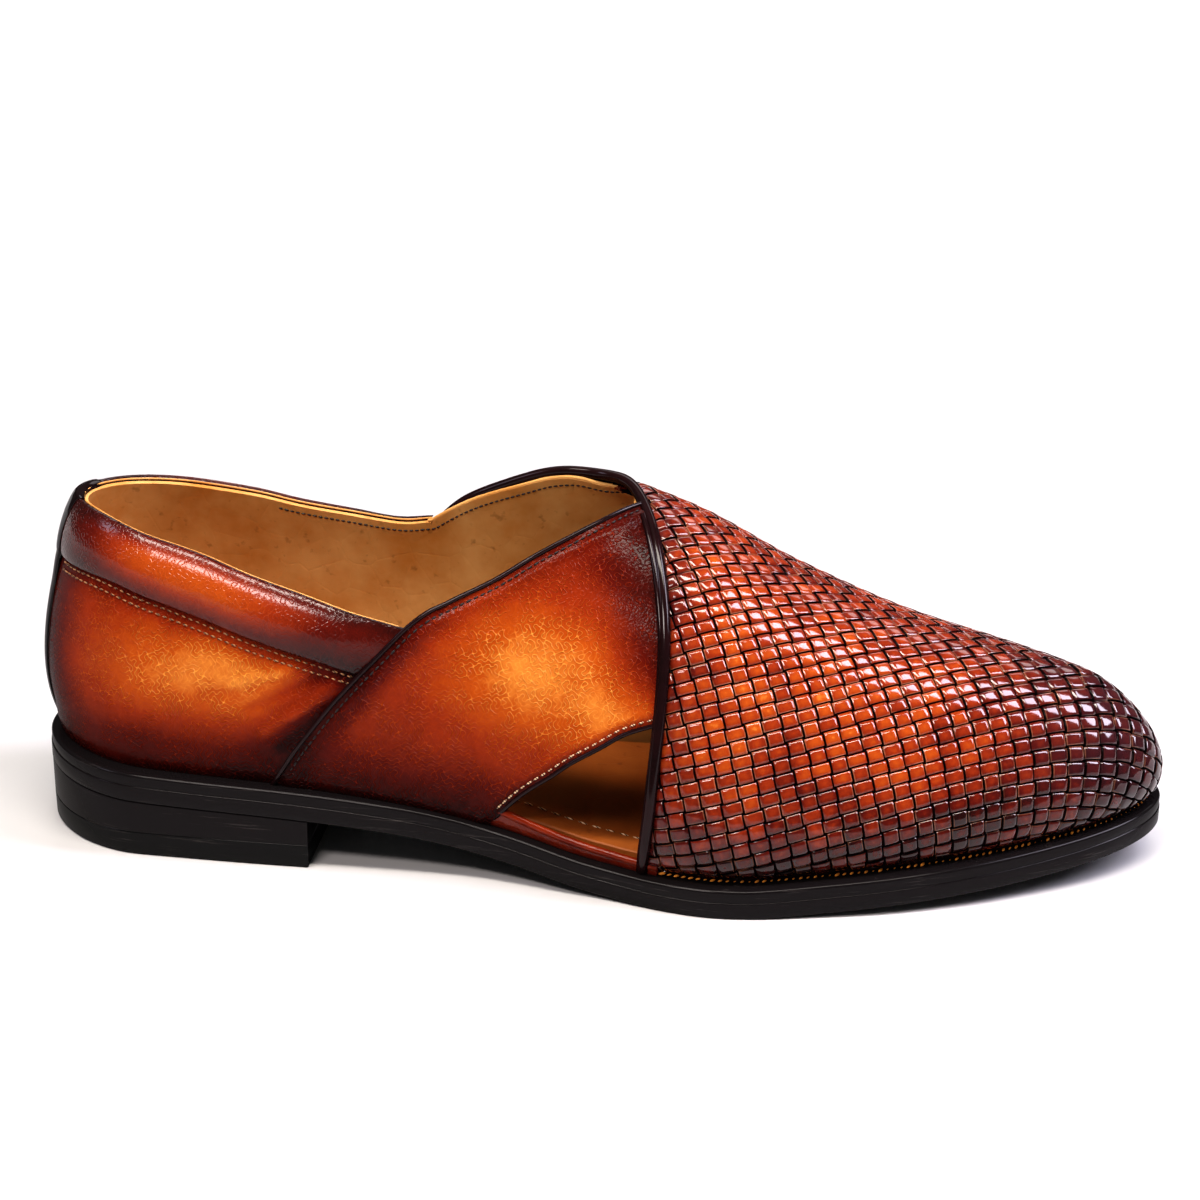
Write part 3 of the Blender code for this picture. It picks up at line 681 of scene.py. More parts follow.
def lay_flat(points, triangles, flat):
    """Lays a curved sheet out flat, keeping each triangle as near as it can to its own shape."""
    a, b, c = points[triangles].transpose(1, 0, 2)
    side = np.linalg.norm(b - a, axis=1)
    along = (b - a) / side[:, None]
    foot = ((c - a) * along).sum(1)
    shape = np.zeros((len(triangles), 3, 2))
    shape[:, 1, 0] = side
    shape[:, 2, 0] = foot
    shape[:, 2, 1] = np.linalg.norm(c - a - foot[:, None] * along, axis=1)
    turned = flat[triangles]
    handed = spread(turned[:, 1] - turned[:, 0], turned[:, 2] - turned[:, 0])
    shape[..., 1] *= np.sign(np.median(handed))
    pull = np.zeros((len(points), len(points)))
    weights = []
    for k in range(3):
        i, j = triangles[:, k], triangles[:, (k + 1) % 3]
        u = shape[:, k] - shape[:, k - 1]
        v = shape[:, (k + 1) % 3] - shape[:, k - 1]
        weight = np.clip((u * v).sum(1) / np.maximum(np.abs(spread(u, v)), 1e-9), 0.02, 20)
        weights.append(weight)
        for p, q, sign in ((i, i, 1), (j, j, 1), (i, j, -1), (j, i, -1)):
            np.add.at(pull, (p, q), sign * weight)
    pull[0, 0] += 1
    solve = np.linalg.inv(pull)
    for _ in range(LEVELLING):
        spin = np.zeros((len(triangles), 2, 2))
        for k in range(3):
            now = flat[triangles[:, (k + 1) % 3]] - flat[triangles[:, k]]
            own = shape[:, (k + 1) % 3] - shape[:, k]
            spin += weights[k][:, None, None] * now[:, :, None] * own[:, None, :]
        angle = np.arctan2(spin[:, 1, 0] - spin[:, 0, 1], spin[:, 0, 0] + spin[:, 1, 1])
        turn = np.stack([np.cos(angle), -np.sin(angle), np.sin(angle), np.cos(angle)], 1)
        wish = np.zeros_like(flat)
        for k in range(3):
            own = shape[:, (k + 1) % 3] - shape[:, k]
            step = weights[k][:, None] * np.einsum("tij,tj->ti", turn.reshape(-1, 2, 2), own)
            np.add.at(wish, triangles[:, (k + 1) % 3], step)
            np.add.at(wish, triangles[:, k], -step)
        wish[0] += flat[0]
        flat = solve @ wish
    return flat


class Lattice:
    """The weave's crossings over the vamp. A place is counted in columns, then in rows; the
    field holds its point, normal, room inside the edges, burnish and smoke."""

    def __init__(self, sizes):
        places, triangles, flat = vamp_sheet()
        cosine, sine = math.cos(sizes.bias), math.sin(sizes.bias)
        counted = np.stack([flat @ (cosine, sine) / (sizes.column_pitch / MM),
                            flat @ (-sine, cosine) / (sizes.row_pitch / MM)], axis=1)
        self.low = np.floor(counted.min(0)) - 1
        size = ((np.ceil(counted.max(0)) + 1 - self.low) * LATTICE).astype(int)
        grid = np.full((*size, 2), np.nan)
        scaled = (counted - self.low) * LATTICE
        for corner in triangles:
            spot, value = scaled[corner], places[corner]
            first = np.ceil(spot.min(0)).astype(int)
            last = np.floor(spot.max(0)).astype(int) + 1
            i, j = np.mgrid[first[0]:last[0], first[1]:last[1]]
            edge_1, edge_2 = spot[1] - spot[0], spot[2] - spot[0]
            area = spread(edge_1, edge_2)
            if not i.size or abs(area) < 1e-9:
                continue
            off = np.stack([i - spot[0][0], j - spot[0][1]], axis=-1)
            share_1 = spread(off, edge_2) / area
            share_2 = spread(edge_1, off) / area
            held = (share_1 > -1e-6) & (share_2 > -1e-6) & (share_1 + share_2 < 1 + 1e-6)
            found = value[0] + share_1[..., None] * (value[1] - value[0]) + (
                share_2[..., None] * (value[2] - value[0]))
            grid[i[held], j[held]] = found[held]
        known = ~np.isnan(grid[..., 0])
        # off the vamp any place will do
        safe = np.where(known[..., None], grid, (2.0, -0.5))
        points = surface(safe[..., 0], safe[..., 1])
        self.field = np.concatenate([points, outward(safe[..., 0], safe[..., 1]),
                                     room(safe, points)[..., None],
                                     vamp_shade(safe, points)], axis=-1)
        self.field[~known] = np.nan
        self.field[..., 6] = np.where(known, self.field[..., 6], -99.0)

    def sample(self, rows, along, across):
        """Smooth values of the field along and across rows or columns, from the sixteen grid
        points round each place."""
        spots = np.broadcast_arrays(along, across)
        u, v = [(spot - low) * LATTICE
                for spot, low in zip(spots if rows else spots[::-1], self.low)]
        i = np.clip(np.floor(u).astype(int), 1, self.field.shape[0] - 3)
        j = np.clip(np.floor(v).astype(int), 1, self.field.shape[1] - 3)
        value = 0
        for di, wi in zip(range(-1, 3), cubic_weights(u - i)):
            for dj, wj in zip(range(-1, 3), cubic_weights(v - j)):
                value = value + self.field[i + di, j + dj] * (wi * wj)[..., None]
        return value


def cubic_weights(t):
    """Weights of four points in a row for a smooth curve through the middle two."""
    return (-0.5 * t + t * t - 0.5 * t ** 3, 1 - 2.5 * t * t + 1.5 * t ** 3,
            0.5 * t + 2 * t * t - 1.5 * t ** 3, -0.5 * t * t + 0.5 * t ** 3)


def room(places, points):
    """How far inside the piping and above the feather line each place is, in mm."""
    station = station_of(places[..., 0])
    gap = gap_to(points, table_line(PIPING_LINE))
    ahead = np.where(station > piping_station(places[..., 1]), gap, -gap)
    return np.minimum(ahead - 0.2, points[..., 2] - welt_top(station) - 0.75)


def vamp_shade(places, points):
    """Burnish and smoke of the hand-stained vamp: dark at its edges, purple-brown at the toe."""
    station = station_of(places[..., 0])
    girth = places[..., 1]
    low = 1 - ease(0.0, 34.0, points[..., 2] - welt_top(station))
    edge = 1 - ease(1.0, 11.0, station - piping_station(girth))
    crest = 1 - ease(0.0, 0.42, np.abs(girth + 0.06))
    toe = ease(222.0, 286.0, points[..., 0])
    burnish = stained(0.35, 0.82 * low, 0.25 * edge, 0.28 * crest, 0.42 * toe)
    smoke = np.clip(0.8 * ease(244.0, 286.0, points[..., 0]) * ease(4.0, 24.0, points[..., 2] - 12)
                    + 0.25 * edge, 0, 1)
    return np.stack([burnish, smoke], axis=-1)


def strip_runs(lattice, rows, odd, half):
    """Each stretch of every second strip over the vamp: the strip's number, the place across
    the weave of each point of its section, and where that point begins and ends along it.

    A point of the section that runs outside the vamp takes the course of its neighbour."""
    low, size = lattice.low, np.array(lattice.field.shape[:2]) / LATTICE
    if not rows:
        low, size = low[::-1], size[::-1]
    run = np.arange(low[0] + 1, low[0] + size[0] - 1, 1 / MARKS)
    for number in range(int(low[1]) + 1, int(low[1] + size[1])):
        if number % 2 != odd:
            continue
        line = number + half * STRIP_ACROSS
        spare = lattice.sample(rows, run[:, None], np.append(line, number)[None])[..., 6]
        inside = np.nan_to_num(spare, nan=-9.0) > 0
        edges = np.flatnonzero(np.diff(np.concatenate([[0], inside[:, -1].astype(int), [0]])))
        for first, final in edges.reshape(-1, 2):
            middle = (first + final) // 2
            kept = np.flatnonzero(inside[middle, :-1])
            if final - first < SHORTEST or len(kept) < 2:
                continue
            nearest = kept[np.abs(line[:, None] - line[None, kept]).argmin(1)]
            outside = ~inside[:, nearest]
            outside[:max(first - SLACK, 1)] = True
            outside[final + SLACK:] = True
            outside[-1] = True
            yield (number, line[nearest], run[middle + 1 - outside[middle::-1].argmax(0)],
                   run[middle - 1 + outside[middle:].argmax(0)])


def weave_strips(lattice, rows, odd, sizes):
    """Points, faces, layers and strip chart of every second strip of the rows or the columns."""
    sign = 1 if rows else -1
    swing = sizes.weave_height / MM
    crown = np.where(STRIP_CROWN > -1, STRIP_CROWN, -sizes.strip_thickness / MM)
    points, faces, chart, shade = [], [], [], []
    count = 0
    for number, course, begin, end in strip_runs(lattice, rows, odd, sizes.strip_share / 2):
        whole = np.arange(math.floor(begin.min()), math.ceil(end.max()) + 1)
        rings = (whole[:, None] + STRIP_ALONG).ravel()
        rings = rings[(rings > begin.min() + 0.02) & (rings < end.max() - 0.02)]
        rings = np.concatenate([[begin.min()], rings, [end.max()]])
        at = np.clip(rings[:, None], begin, end)
        value = lattice.sample(rows, at, course[None])
        wave = np.tanh(sizes.weave_snap * (np.cos(math.pi * (at + number)) * sign))
        wave = wave / math.tanh(sizes.weave_snap)
        normal = value[..., 3:6] / np.linalg.norm(value[..., 3:6], axis=-1, keepdims=True)
        tuck = 1.1 * (1 - ease(0.0, 3.2, value[..., 6]))
        lift = 0.25 + swing * wave + crown - tuck
        points.append((value[..., :3] + normal * lift[..., None]).reshape(-1, 3))
        index = count + np.arange(at.size).reshape(at.shape)
        ahead = np.roll(index, -1, axis=1)
        quads = np.stack([index[:-1], ahead[:-1], ahead[1:], index[1:]], -1).reshape(-1, 4)
        faces += [*quads.tolist(), index[0, ::-1].tolist(), index[-1].tolist()]
        across = np.broadcast_to(number + 0.5 * STRIP_ACROSS, at.shape)
        chart.append(np.stack([at, across], -1).reshape(-1, 2))
        shade.append(np.concatenate([value[..., 7:], wave[..., None]], -1).reshape(-1, 3))
        count += at.size
    layers = dict(zip(("burnish", "smoke", "rise"), np.concatenate(shade).T))
    return np.concatenate(points), faces, layers, np.concatenate(chart)


# ---- Panels, lining and trim -----------------------------------------------

STRAP_EDGE = {                       # rear edge of the strap, then its top edge
    "station": (66.8, 71.6, 75.5, 83.0, 89.8, 96.8, 102.9, 108.2, 114.0, 125.9, 138.4,
                149.9, 159.8),
    "girth": (-1.012, -0.955, -0.91, -0.836, -0.777, -0.719, -0.667, -0.629, -0.597, -0.52,
              -0.405, -0.265, -0.12),
}
STRAP_LOWER = {                      # its lower edge, round the cut-out
    "station": (123.7, 128.2, 133.9, 140.7, 146.5, 153.3, 159.1, 164.8, 168.2),
    "girth": (-1.012, -0.965, -0.915, -0.865, -0.82, -0.775, -0.735, -0.705, -0.69),
}
STRAP_FRONT = {                      # its front edge, under the piping
    "station": (159.8, 163.0, 165.2, 166.8, 167.9, 168.3, 168.2),
    "girth": (-0.12, -0.19, -0.29, -0.39, -0.49, -0.59, -0.69),
}
RAND_TOP = {                         # narrow band under the cut-out
    "station": (117, 124, 128, 134, 141, 150, 160, 169),
    "girth": (-0.985, -0.974, -0.969, -0.975, -0.979, -0.981, -0.983, -0.984),
}
# Creases of the quarter where the foot bends it: start, end, half width and height in mm
CREASES = (
    ((66.0, -0.895), (84.0, -0.790), 2.2, 0.70), ((62.0, -0.845), (80.0, -0.775), 1.6, -0.50),
    ((70.0, -0.925), (82.0, -0.845), 1.8, -0.55), ((58.0, -0.80), (73.0, -0.765), 1.8, 0.50),
    ((73.0, -0.86), (85.5, -0.80), 1.2, 0.50), ((50.0, -0.83), (66.0, -0.79), 2.4, -0.30),
)
STITCH_GAP, CUT_STITCH_GAP = 1.8, 1.4    # stitches of the strap from its edges
STRAP_WIDTH = 58.0                   # along its middle, from rear to front
FOOT = 1.012                         # panels run this far down behind the welt
EDGE_DROP, LINING_DROP = 0.011, 0.003    # and stop this far short of the bound top line
PANEL_BACK = -1.3                    # their inner face, off the last

# Stations of the quarter's front edge, at the foot and at the top line, and of its lining's
LATERAL_FRONT = (74.0, 105.0)
MEDIAL_FRONT = (82.0, 108.0)
LINING_FRONT = (86.0, 101.0)


def topline(side, front, drop=0.0):
    """Top line of one side from the back to a station; drop lowers it a little."""
    rows = smooth_line(TOPLINE, 1.0, TOPLINE_DIPS)
    turning = rows[:, 0].argmax()
    rows = rows[:turning + 1] if side < 0 else rows[:turning - 1:-1]
    rows = rows[:np.flatnonzero(rows[:, 0] <= front)[-1] + 1]
    return np.stack([turn_of(rows[:, 0]), rows[:, 1] + side * drop], axis=1)


def quarter_places(side, front, across, up, drop=EDGE_DROP):
    """Grid of one side of the quarter, from the back line to its front edge."""
    front_foot, front_top = front
    top = topline(side, front_top, drop)
    end = (station_of(top[-1, 0]), top[-1, 1])
    foot, back = side * FOOT, (FEATHER_BACK, top[0, 1])
    return fill(straight([(FEATHER_BACK, foot), (front_foot, foot)]), top,
                straight([(FEATHER_BACK, foot), back]), straight([(front_foot, foot), end]),
                across, up)


def joined(medial, lateral):
    """One grid round the heel from its medial and lateral halves."""
    return tuple(np.concatenate([m[::-1], l[1:]]) for m, l in zip(medial, lateral))


def rubbed(points, *spots):
    """How far the tone is lightened round spots, by stain rubbed back and, on the strap's second
    one, also by a painted sheen: x, height, reach along, reach up, share.
    """
    left = np.ones(points.shape[:-1])
    for x, z, along, up, share in spots:
        away = ((points[..., 0] - x) / along) ** 2 + ((points[..., 2] - z) / up) ** 2
        left *= 1 - share * np.exp(-away)
    return 1 - left


def quarter_panel():
    """Places, heights and stain of the quarter, round the heel from front edge to front edge;
    its creases take painted highlights and painted shade.
    """
    across, up = steps(84, 0.012, ends=(False, True)), steps(34, 0.012)
    turn, girth = joined(quarter_places(1, MEDIAL_FRONT, across, up),
                         quarter_places(-1, LATERAL_FRONT, across, up))
    points = surface(turn, girth)
    height, crease_light_and_shade = np.zeros_like(turn), np.zeros_like(turn)
    # each crease folds the leather; a raised one takes a painted highlight and a sunken one painted
    # shade
    for start, end, width, rise in CREASES:
        fold = near_line(points, straight([start, end], 24), width * 1.3)
        height += 0.8 * rise * fold
        crease_light_and_shade += 0.24 * rise * fold
    above = above_welt(points, turn)
    # rubbed back along its middle; dark at the foot, the back, the strap, the seam and inside
    shade = stained(0.54 * (1 - rubbed(points, (54, 51, 36, 14, 0.86))),
                    0.80 * (1 - ease(-3, 22, above)),
                    0.92 * (1 - ease(-2, 19, points[..., 0])),
                    0.70 * near_line(points, table_line(STRAP_EDGE, 2.0), 17.0),
                    0.45 * near_line(points, collar_seam(-1), 7.0),
                    0.55 * ease(0.2, 0.9, girth))
    return turn, girth, -0.4 + height + foot_flare(above), PANEL_BACK, {
        "burnish": np.clip(shade - crease_light_and_shade, 0, 1)}


def foot_flare(above):
    """The leather swings out over the welt's seam in its last millimetres."""
    return 1.5 * (1 - ease(0.0, 9.0, above))


def strap_places(across, up):
    """Grid of the strap, from its rear edge to the cut-out and from the welt to its front."""
    foot = [(table["station"][0], -FOOT) for table in (STRAP_EDGE, STRAP_LOWER)]
    return fill(straight(foot), table_line(STRAP_FRONT), table_line(STRAP_EDGE),
                table_line(STRAP_LOWER), across, up)


def strap_lift(points):
    """Height of the strap's face: it rides up where the collar runs in under it."""
    collar_end = straight([(90.5, -0.765), (102.0, -0.665)], 12)
    return 0.8 + 1.2 * near_line(points, collar_end, 17.0)


def sewn_edge(gap, at):
    """Height of a folded edge: pressed down along its stitches, full just behind them."""
    return 0.28 * np.exp(-((gap - at - 1.7) / 1.3) ** 2) - 0.40 * np.exp(-((gap - at) / 0.7) ** 2)


def strap_panel():
    """Places, heights and stain of the strap, with a painted sheen low at its front."""
    across, up = steps(66, 0.02), steps(110, 0.012)
    turn, girth = strap_places(across, up)
    points = surface(turn, girth)
    x, above = points[..., 0], above_welt(points, turn)
    soft = ease(0.0, 2.2, np.minimum(across, 1 - across)[:, None] * STRAP_WIDTH)
    lift = (strap_lift(points) - 0.45 * (1 - soft) + 0.7 * foot_flare(above)
            + sewn_edge(gap_to(points, table_line(STRAP_EDGE)), STITCH_GAP)
            + 0.6 * sewn_edge(gap_to(points, table_line(STRAP_LOWER)), CUT_STITCH_GAP))
    front = near_line(points, table_line(STRAP_FRONT, 2.0), 20.0)
    rear = 0.75 - 0.55 * ease(96, 122, x)
    # rubbed back in two places, the second, low at the front, also a painted sheen; dark at
    # the foot, along all four edges and high up in front
    shade = stained(0.56 * (1 - rubbed(points, (134, 57, 25, 18, 0.86), (158, 49, 20, 11, 0.82))),
                    rear * near_line(points, table_line(STRAP_EDGE, 2.0), 10.0),
                    0.85 * (1 - ease(-2, 22, above)),
                    0.66 * front * ease(34, 54, above),
                    0.35 * near_line(points, table_line(STRAP_FRONT, 2.0), 3.5),
                    0.55 * near_line(points, table_line(STRAP_LOWER, 2.0), 3.5),
                    0.25 * ease(62, 84, points[..., 2]) * ease(112, 150, x))
    return turn, girth, lift, lift - 1.2, {"burnish": shade}


def rand_band():
    """Places, heights and burnish of the narrow band under the cut-out."""
    across, up = steps(60), steps(7, 0.12)
    rear, front = [(RAND_TOP["station"][k], RAND_TOP["girth"][k]) for k in (0, -1)]
    foot = [(rear[0], -FOOT), (front[0], -FOOT)]
    turn, girth = fill(straight(foot), table_line(RAND_TOP), straight([foot[0], rear]),
                       straight([foot[1], front]), across, up)
    roll = 0.1 + 0.9 * np.sin(math.pi * np.clip(up, 0, 1) ** 0.8)
    return turn, girth, roll[None, :], -1.2, {"burnish": np.full(turn.shape, 0.66)}


def vamp_places(columns, rows, lining=False):
    """Grid of the vamp from its edge to the toe's front line, one line for each girth. As a
    lining it ends on the open top line and, down the medial side, on a seam."""
    girth = FOOT * np.linspace(-1, 1, rows)
    start = turn_of(piping_station(girth))
    if lining:
        open_edge = topline(1, 200.0)[::-1]
        seam = np.array([(turn_of(100.8), 0.565), (turn_of(85.0), FOOT)])
        edge = np.concatenate([open_edge[open_edge[:, 0] > turn_of(101.5)], seam])
        start = np.where(girth > edge[0, 1], np.interp(girth, edge[:, 1], edge[:, 0]), start)
    share = 1 - (1 - np.linspace(0, 1, columns)) ** 1.15
    turn = start[:, None] + (math.pi - start[:, None]) * share[None, :]
    return turn, np.broadcast_to(girth[:, None], turn.shape)


def vamp_backing():
    return *vamp_places(70, 91), -0.5, PANEL_BACK


def lining_panels():
    """Name, inner height and places of the lining of the quarter, the strap and the vamp."""
    across, up = steps(70, 0.01, ends=(False, True)), steps(30, 0.01)
    medial = quarter_places(1, LINING_FRONT, across, up, LINING_DROP)
    lateral = quarter_places(-1, LATERAL_FRONT, across, up, LINING_DROP)
    return (("lining_quarter", -2.5, joined(medial, lateral)),
            ("lining_strap", -2.6, strap_places(steps(46, 0.02), steps(70, 0.012))),
            ("lining_vamp", -2.5, vamp_places(60, 81, True)))


def collar_rows(side, station):
    """Girth of the collar's seam and of its top at a station."""
    seam = read(COLLAR_SEAM, "medial" if side > 0 else "lateral", station)
    half = len(TOPLINE["station"]) // 2
    pick = slice(0, half) if side < 0 else slice(None, half + 1, -1)
    # the collar follows the first eight rows of the top line on either side
    line = {"station": TOPLINE["station"][pick][:8], "girth": TOPLINE["girth"][pick][:8]}
    return seam, read(line, "girth", station)


def collar_seam(side):
    name = "medial" if side > 0 else "lateral"
    rows = smooth_line({"station": COLLAR_SEAM["station"], "girth": COLLAR_SEAM[name]}, 1.0)
    return np.stack([turn_of(rows[:, 0]), rows[:, 1]], axis=1)


def collar_height(station, up, fade):
    """How far the padded collar stands off the last; up is 0 at its seam, 1 at its top."""
    pad = read(COLLAR_PAD, "pad", station)
    return 0.35 + 0.65 * up + fade * pad * np.sin(math.pi * np.clip(up, 0, 1) ** 0.9) ** 0.75


def collar_ring(side, station, fade):
    """Closed section of the collar: up its face, over the rim, and down inside it.
    Station is an array, one value for each of the face's points."""
    up = COLLAR_UP
    seam, top = collar_rows(side, station)
    girth = seam + (top - seam) * up
    turn = turn_of(station)
    base, normal = surface(turn, girth), outward(turn, girth)
    face = base + normal * collar_height(station, up, fade)[:, None]
    crown, out = base[-1], normal[-1]
    rise = surface(turn[-1], girth[-1] * 0.985) - surface(turn[-1], girth[-1] * 1.015)
    rise /= np.linalg.norm(rise)
    angle = np.linspace(0, math.pi, 9)[1:]
    middle = crown - out * 0.15 - rise * 0.75
    rim = middle + out * (RIM * np.cos(angle))[:, None] + rise * (RIM * np.sin(angle))[:, None]
    lip = crown - out * 1.3 - rise * np.array([1.6, 2.6])[:, None]
    lip[1] += out * 0.3
    floor = base[[12, 6, 0]] - normal[[12, 6, 0]] * 0.5
    return np.concatenate([face[:-1], rim, lip, floor])


RIM = 1.15                                             # radius of the collar's rolled rim
COLLAR_UP = (1 - np.cos(np.linspace(0, math.pi, 18))) / 2    # shares up its face
COLLAR_REACH = {-1: (97.0, 107.0), 1: (90.0, 101.0)}   # its front end, hidden by strap and vamp


def collar_rings():
    """Sections of the collar from its medial end round the back to its lateral end, and the
    stain of each of their points, with painted shade low on the collar's face."""
    rings, shade = [], []
    for side, order in ((1, np.linspace(1, 0, 90)), (-1, np.linspace(0, 1, 90)[1:])):
        at_seam, at_top = COLLAR_REACH[side]
        front = at_seam + (at_top - at_seam) * COLLAR_UP
        for share in order:
            station = FEATHER_BACK + (front - FEATHER_BACK) * share ** 1.7
            fade = 0.12 + 0.88 * ease(2.0, 20.0, front[9] - station[9])
            ring = collar_ring(side, station, fade)
            rings.append(ring)
            hidden = np.ones(len(ring) - len(COLLAR_UP))
            ends = stained(ease(38, 6, station[9]), 0.85 * ease(54, 88, station[9]))
            # painted shade: the face darkens towards its seam, below the roll's bulge
            low = np.concatenate([1 - ease(0.0, 0.5, COLLAR_UP), hidden])
            high = np.concatenate([ease(0.70, 0.98, COLLAR_UP), hidden])
            shade.append(stained(0.28, 0.85 * ends, 0.68 * low, 0.6 * high))
    return np.array(rings), np.array(shade)


def back_station(girth, width):
    """Station of the rib that passes a given width beside the back line."""
    trial = FEATHER_BACK + np.linspace(0, 1, 200) ** 2 * 26
    return np.interp(width, np.abs(last_point(trial, girth)[:, 1]), trial)


def backstay_rings():
    """Sections of the narrow strip up the back, over the collar's rim and down behind the
    lining."""
    rings = []
    seam, top = abs(COLLAR_SEAM["lateral"][0]), TOPLINE["girth"][0]
    for width in np.linspace(-1, 1, 25) * BACKSTAY_HALF:
        side = 1 if width > 0 else -1
        half = abs(width)
        low = side * np.linspace(1.0, seam + 0.004, 26)
        turn = turn_of(np.array([back_station(g, half) for g in low]))
        lift = -0.15 + 0.45 * ease(20, 25, np.arange(26))
        below = surface(turn, low) + outward(turn, low) * lift[:, None]
        ends = np.array([back_station(side * seam, half), back_station(side * abs(top), half)])
        ring = collar_ring(side, ends[0] + (ends[1] - ends[0]) * COLLAR_UP, 1.0)
        girth = side * np.abs(top - np.array([1.4, 2.2, 3.0]) / HALF_GIRTH * 1.2)
        turn = turn_of(np.array([back_station(g, half) for g in girth]))
        path = np.concatenate([below[:-1], ring[:26],
                               surface(turn, girth) - outward(turn, girth) * 1.9])
        ahead = np.gradient(path, axis=0)
        ahead[:, 1] = 0
        away = np.stack([-ahead[:, 2], np.zeros(len(path)), ahead[:, 0]], axis=1)
        away /= np.linalg.norm(away, axis=1, keepdims=True)
        thick = (0.85 - 0.45 * ease(26, 34, np.arange(len(path)))[:, None]) * (
            1 - 0.75 * (half / BACKSTAY_HALF) ** 8)
        rings.append(np.concatenate([path + away * (0.15 + thick), (path + away * 0.1)[::-1]]))
    return np.array(rings)


def loft(rings):
    """Points and faces of a closed tube through equal rings, with a face at either end."""
    count = rings.shape[1]
    index = np.arange(rings.shape[0] * count).reshape(rings.shape[:2])
    ahead = np.roll(index, -1, axis=1)
    faces = np.stack([index[:-1], ahead[:-1], ahead[1:], index[1:]], -1).reshape(-1, 4).tolist()
    return rings.reshape(-1, 3), faces + [index[0, ::-1].tolist(), index[-1].tolist()]


# ---- The sole --------------------------------------------------------------

def sole_ring(inset, height, count=200):
    """Closed ring of the sole's edge, drawn in by an inset, at a height for each station."""
    x = even_stations(count, inset, LENGTH - inset)
    low = np.stack([x, outline(-1, x, inset, LENGTH - inset, inset), height(x)], axis=1)
    far = np.stack([x, outline(1, x, inset, LENGTH - inset, inset), height(x)], axis=1)
    return np.concatenate([low, far[-2:0:-1]])


def heel_ring(inset, height, taper, count=70):
    """Closed ring of a heel lift's edge, behind the heel's straight front."""
    front, back = HEEL_BREAST - inset, taper + inset
    x = back + (front - back) * (1 - np.cos(np.linspace(0, math.pi / 2, count)))
    full = (x - back) * front / (front - back)
    low = np.stack([x, outline(-1, full, inset=back), height(x)], axis=1)
    far = np.stack([x, outline(1, full, inset=back), height(x)], axis=1)
    return np.concatenate([low, far[:0:-1]])


def stack_rings(rings, count):
    """Closed block through rings from the bottom up, each with count points a side."""
    points, faces = loft(np.array(rings))
    faces = faces[:-2]
    size = len(rings[0])
    for start in (0, size * (len(rings) - 1)):
        ring = np.arange(start, start + size)
        near, far = ring[:count], np.concatenate([ring[:1], ring[:-count:-1]])
        faces += np.stack([near[:-1], near[1:], far[1:], far[:-1]], axis=1).tolist()
    return points, faces


def sole_blocks():
    """Each block's piece, solid, finish, rings from the bottom up, and points a side."""
    def raised(height):
        return lambda x: bed(x) + height

    def flat(height):
        return lambda x: np.full_like(x, height)

    def lifted(share):
        start = TOP_PIECE + 0.1
        return lambda x: start + (bed(x) - 0.1 - start) * share

    outsole = [sole_ring(inset, raised(height)) for inset, height in (
        (0.5, 0.0), (0.15, 0.12), (0.0, 0.4), (0.0, 4.05), (0.07, 4.22), (0.22, 4.34))]
    welt = [sole_ring(inset, raised(height)) for inset, height in (
        (0.22, 4.38), (0.18, 4.5), (0.18, 6.95), (0.34, 7.3), (0.7, 7.58), (1.2, 7.7))]
    middle = HEEL_TAPER * 0.55
    lift = [heel_ring(inset, lifted(share), middle * (1 - share) + 0.1 * share)
            for inset, share in ((0.1, 0.0), (0.03, 0.02), (0.0, 0.05), (0.0, 0.97), (0.03, 0.985),
                                 (0.1, 1.0))]
    tread = [heel_ring(inset, flat(height), taper) for inset, height, taper in (
        (0.8, 0.0, HEEL_TAPER), (0.25, 0.12, HEEL_TAPER), (0.0, 0.6, HEEL_TAPER),
        (0.0, 6.2, middle), (0.04, 6.32, middle), (0.12, 6.4, middle))]
    return (("outsole_edge", "outsole", "sole", outsole, 200),
            ("welt_edge", "welt", "sole", welt, 200),
            ("heel_stack", "heel_lift", "sole", lift, 70),
            ("heel_tread", "heel_top_piece", "rubber", tread, 70))


# ---- Trim and stitches -----------------------------------------------------

CORD_STEP = 1.2              # between the points of a cord's path
BEND = 7                     # points to either side that round the cord off at the instep


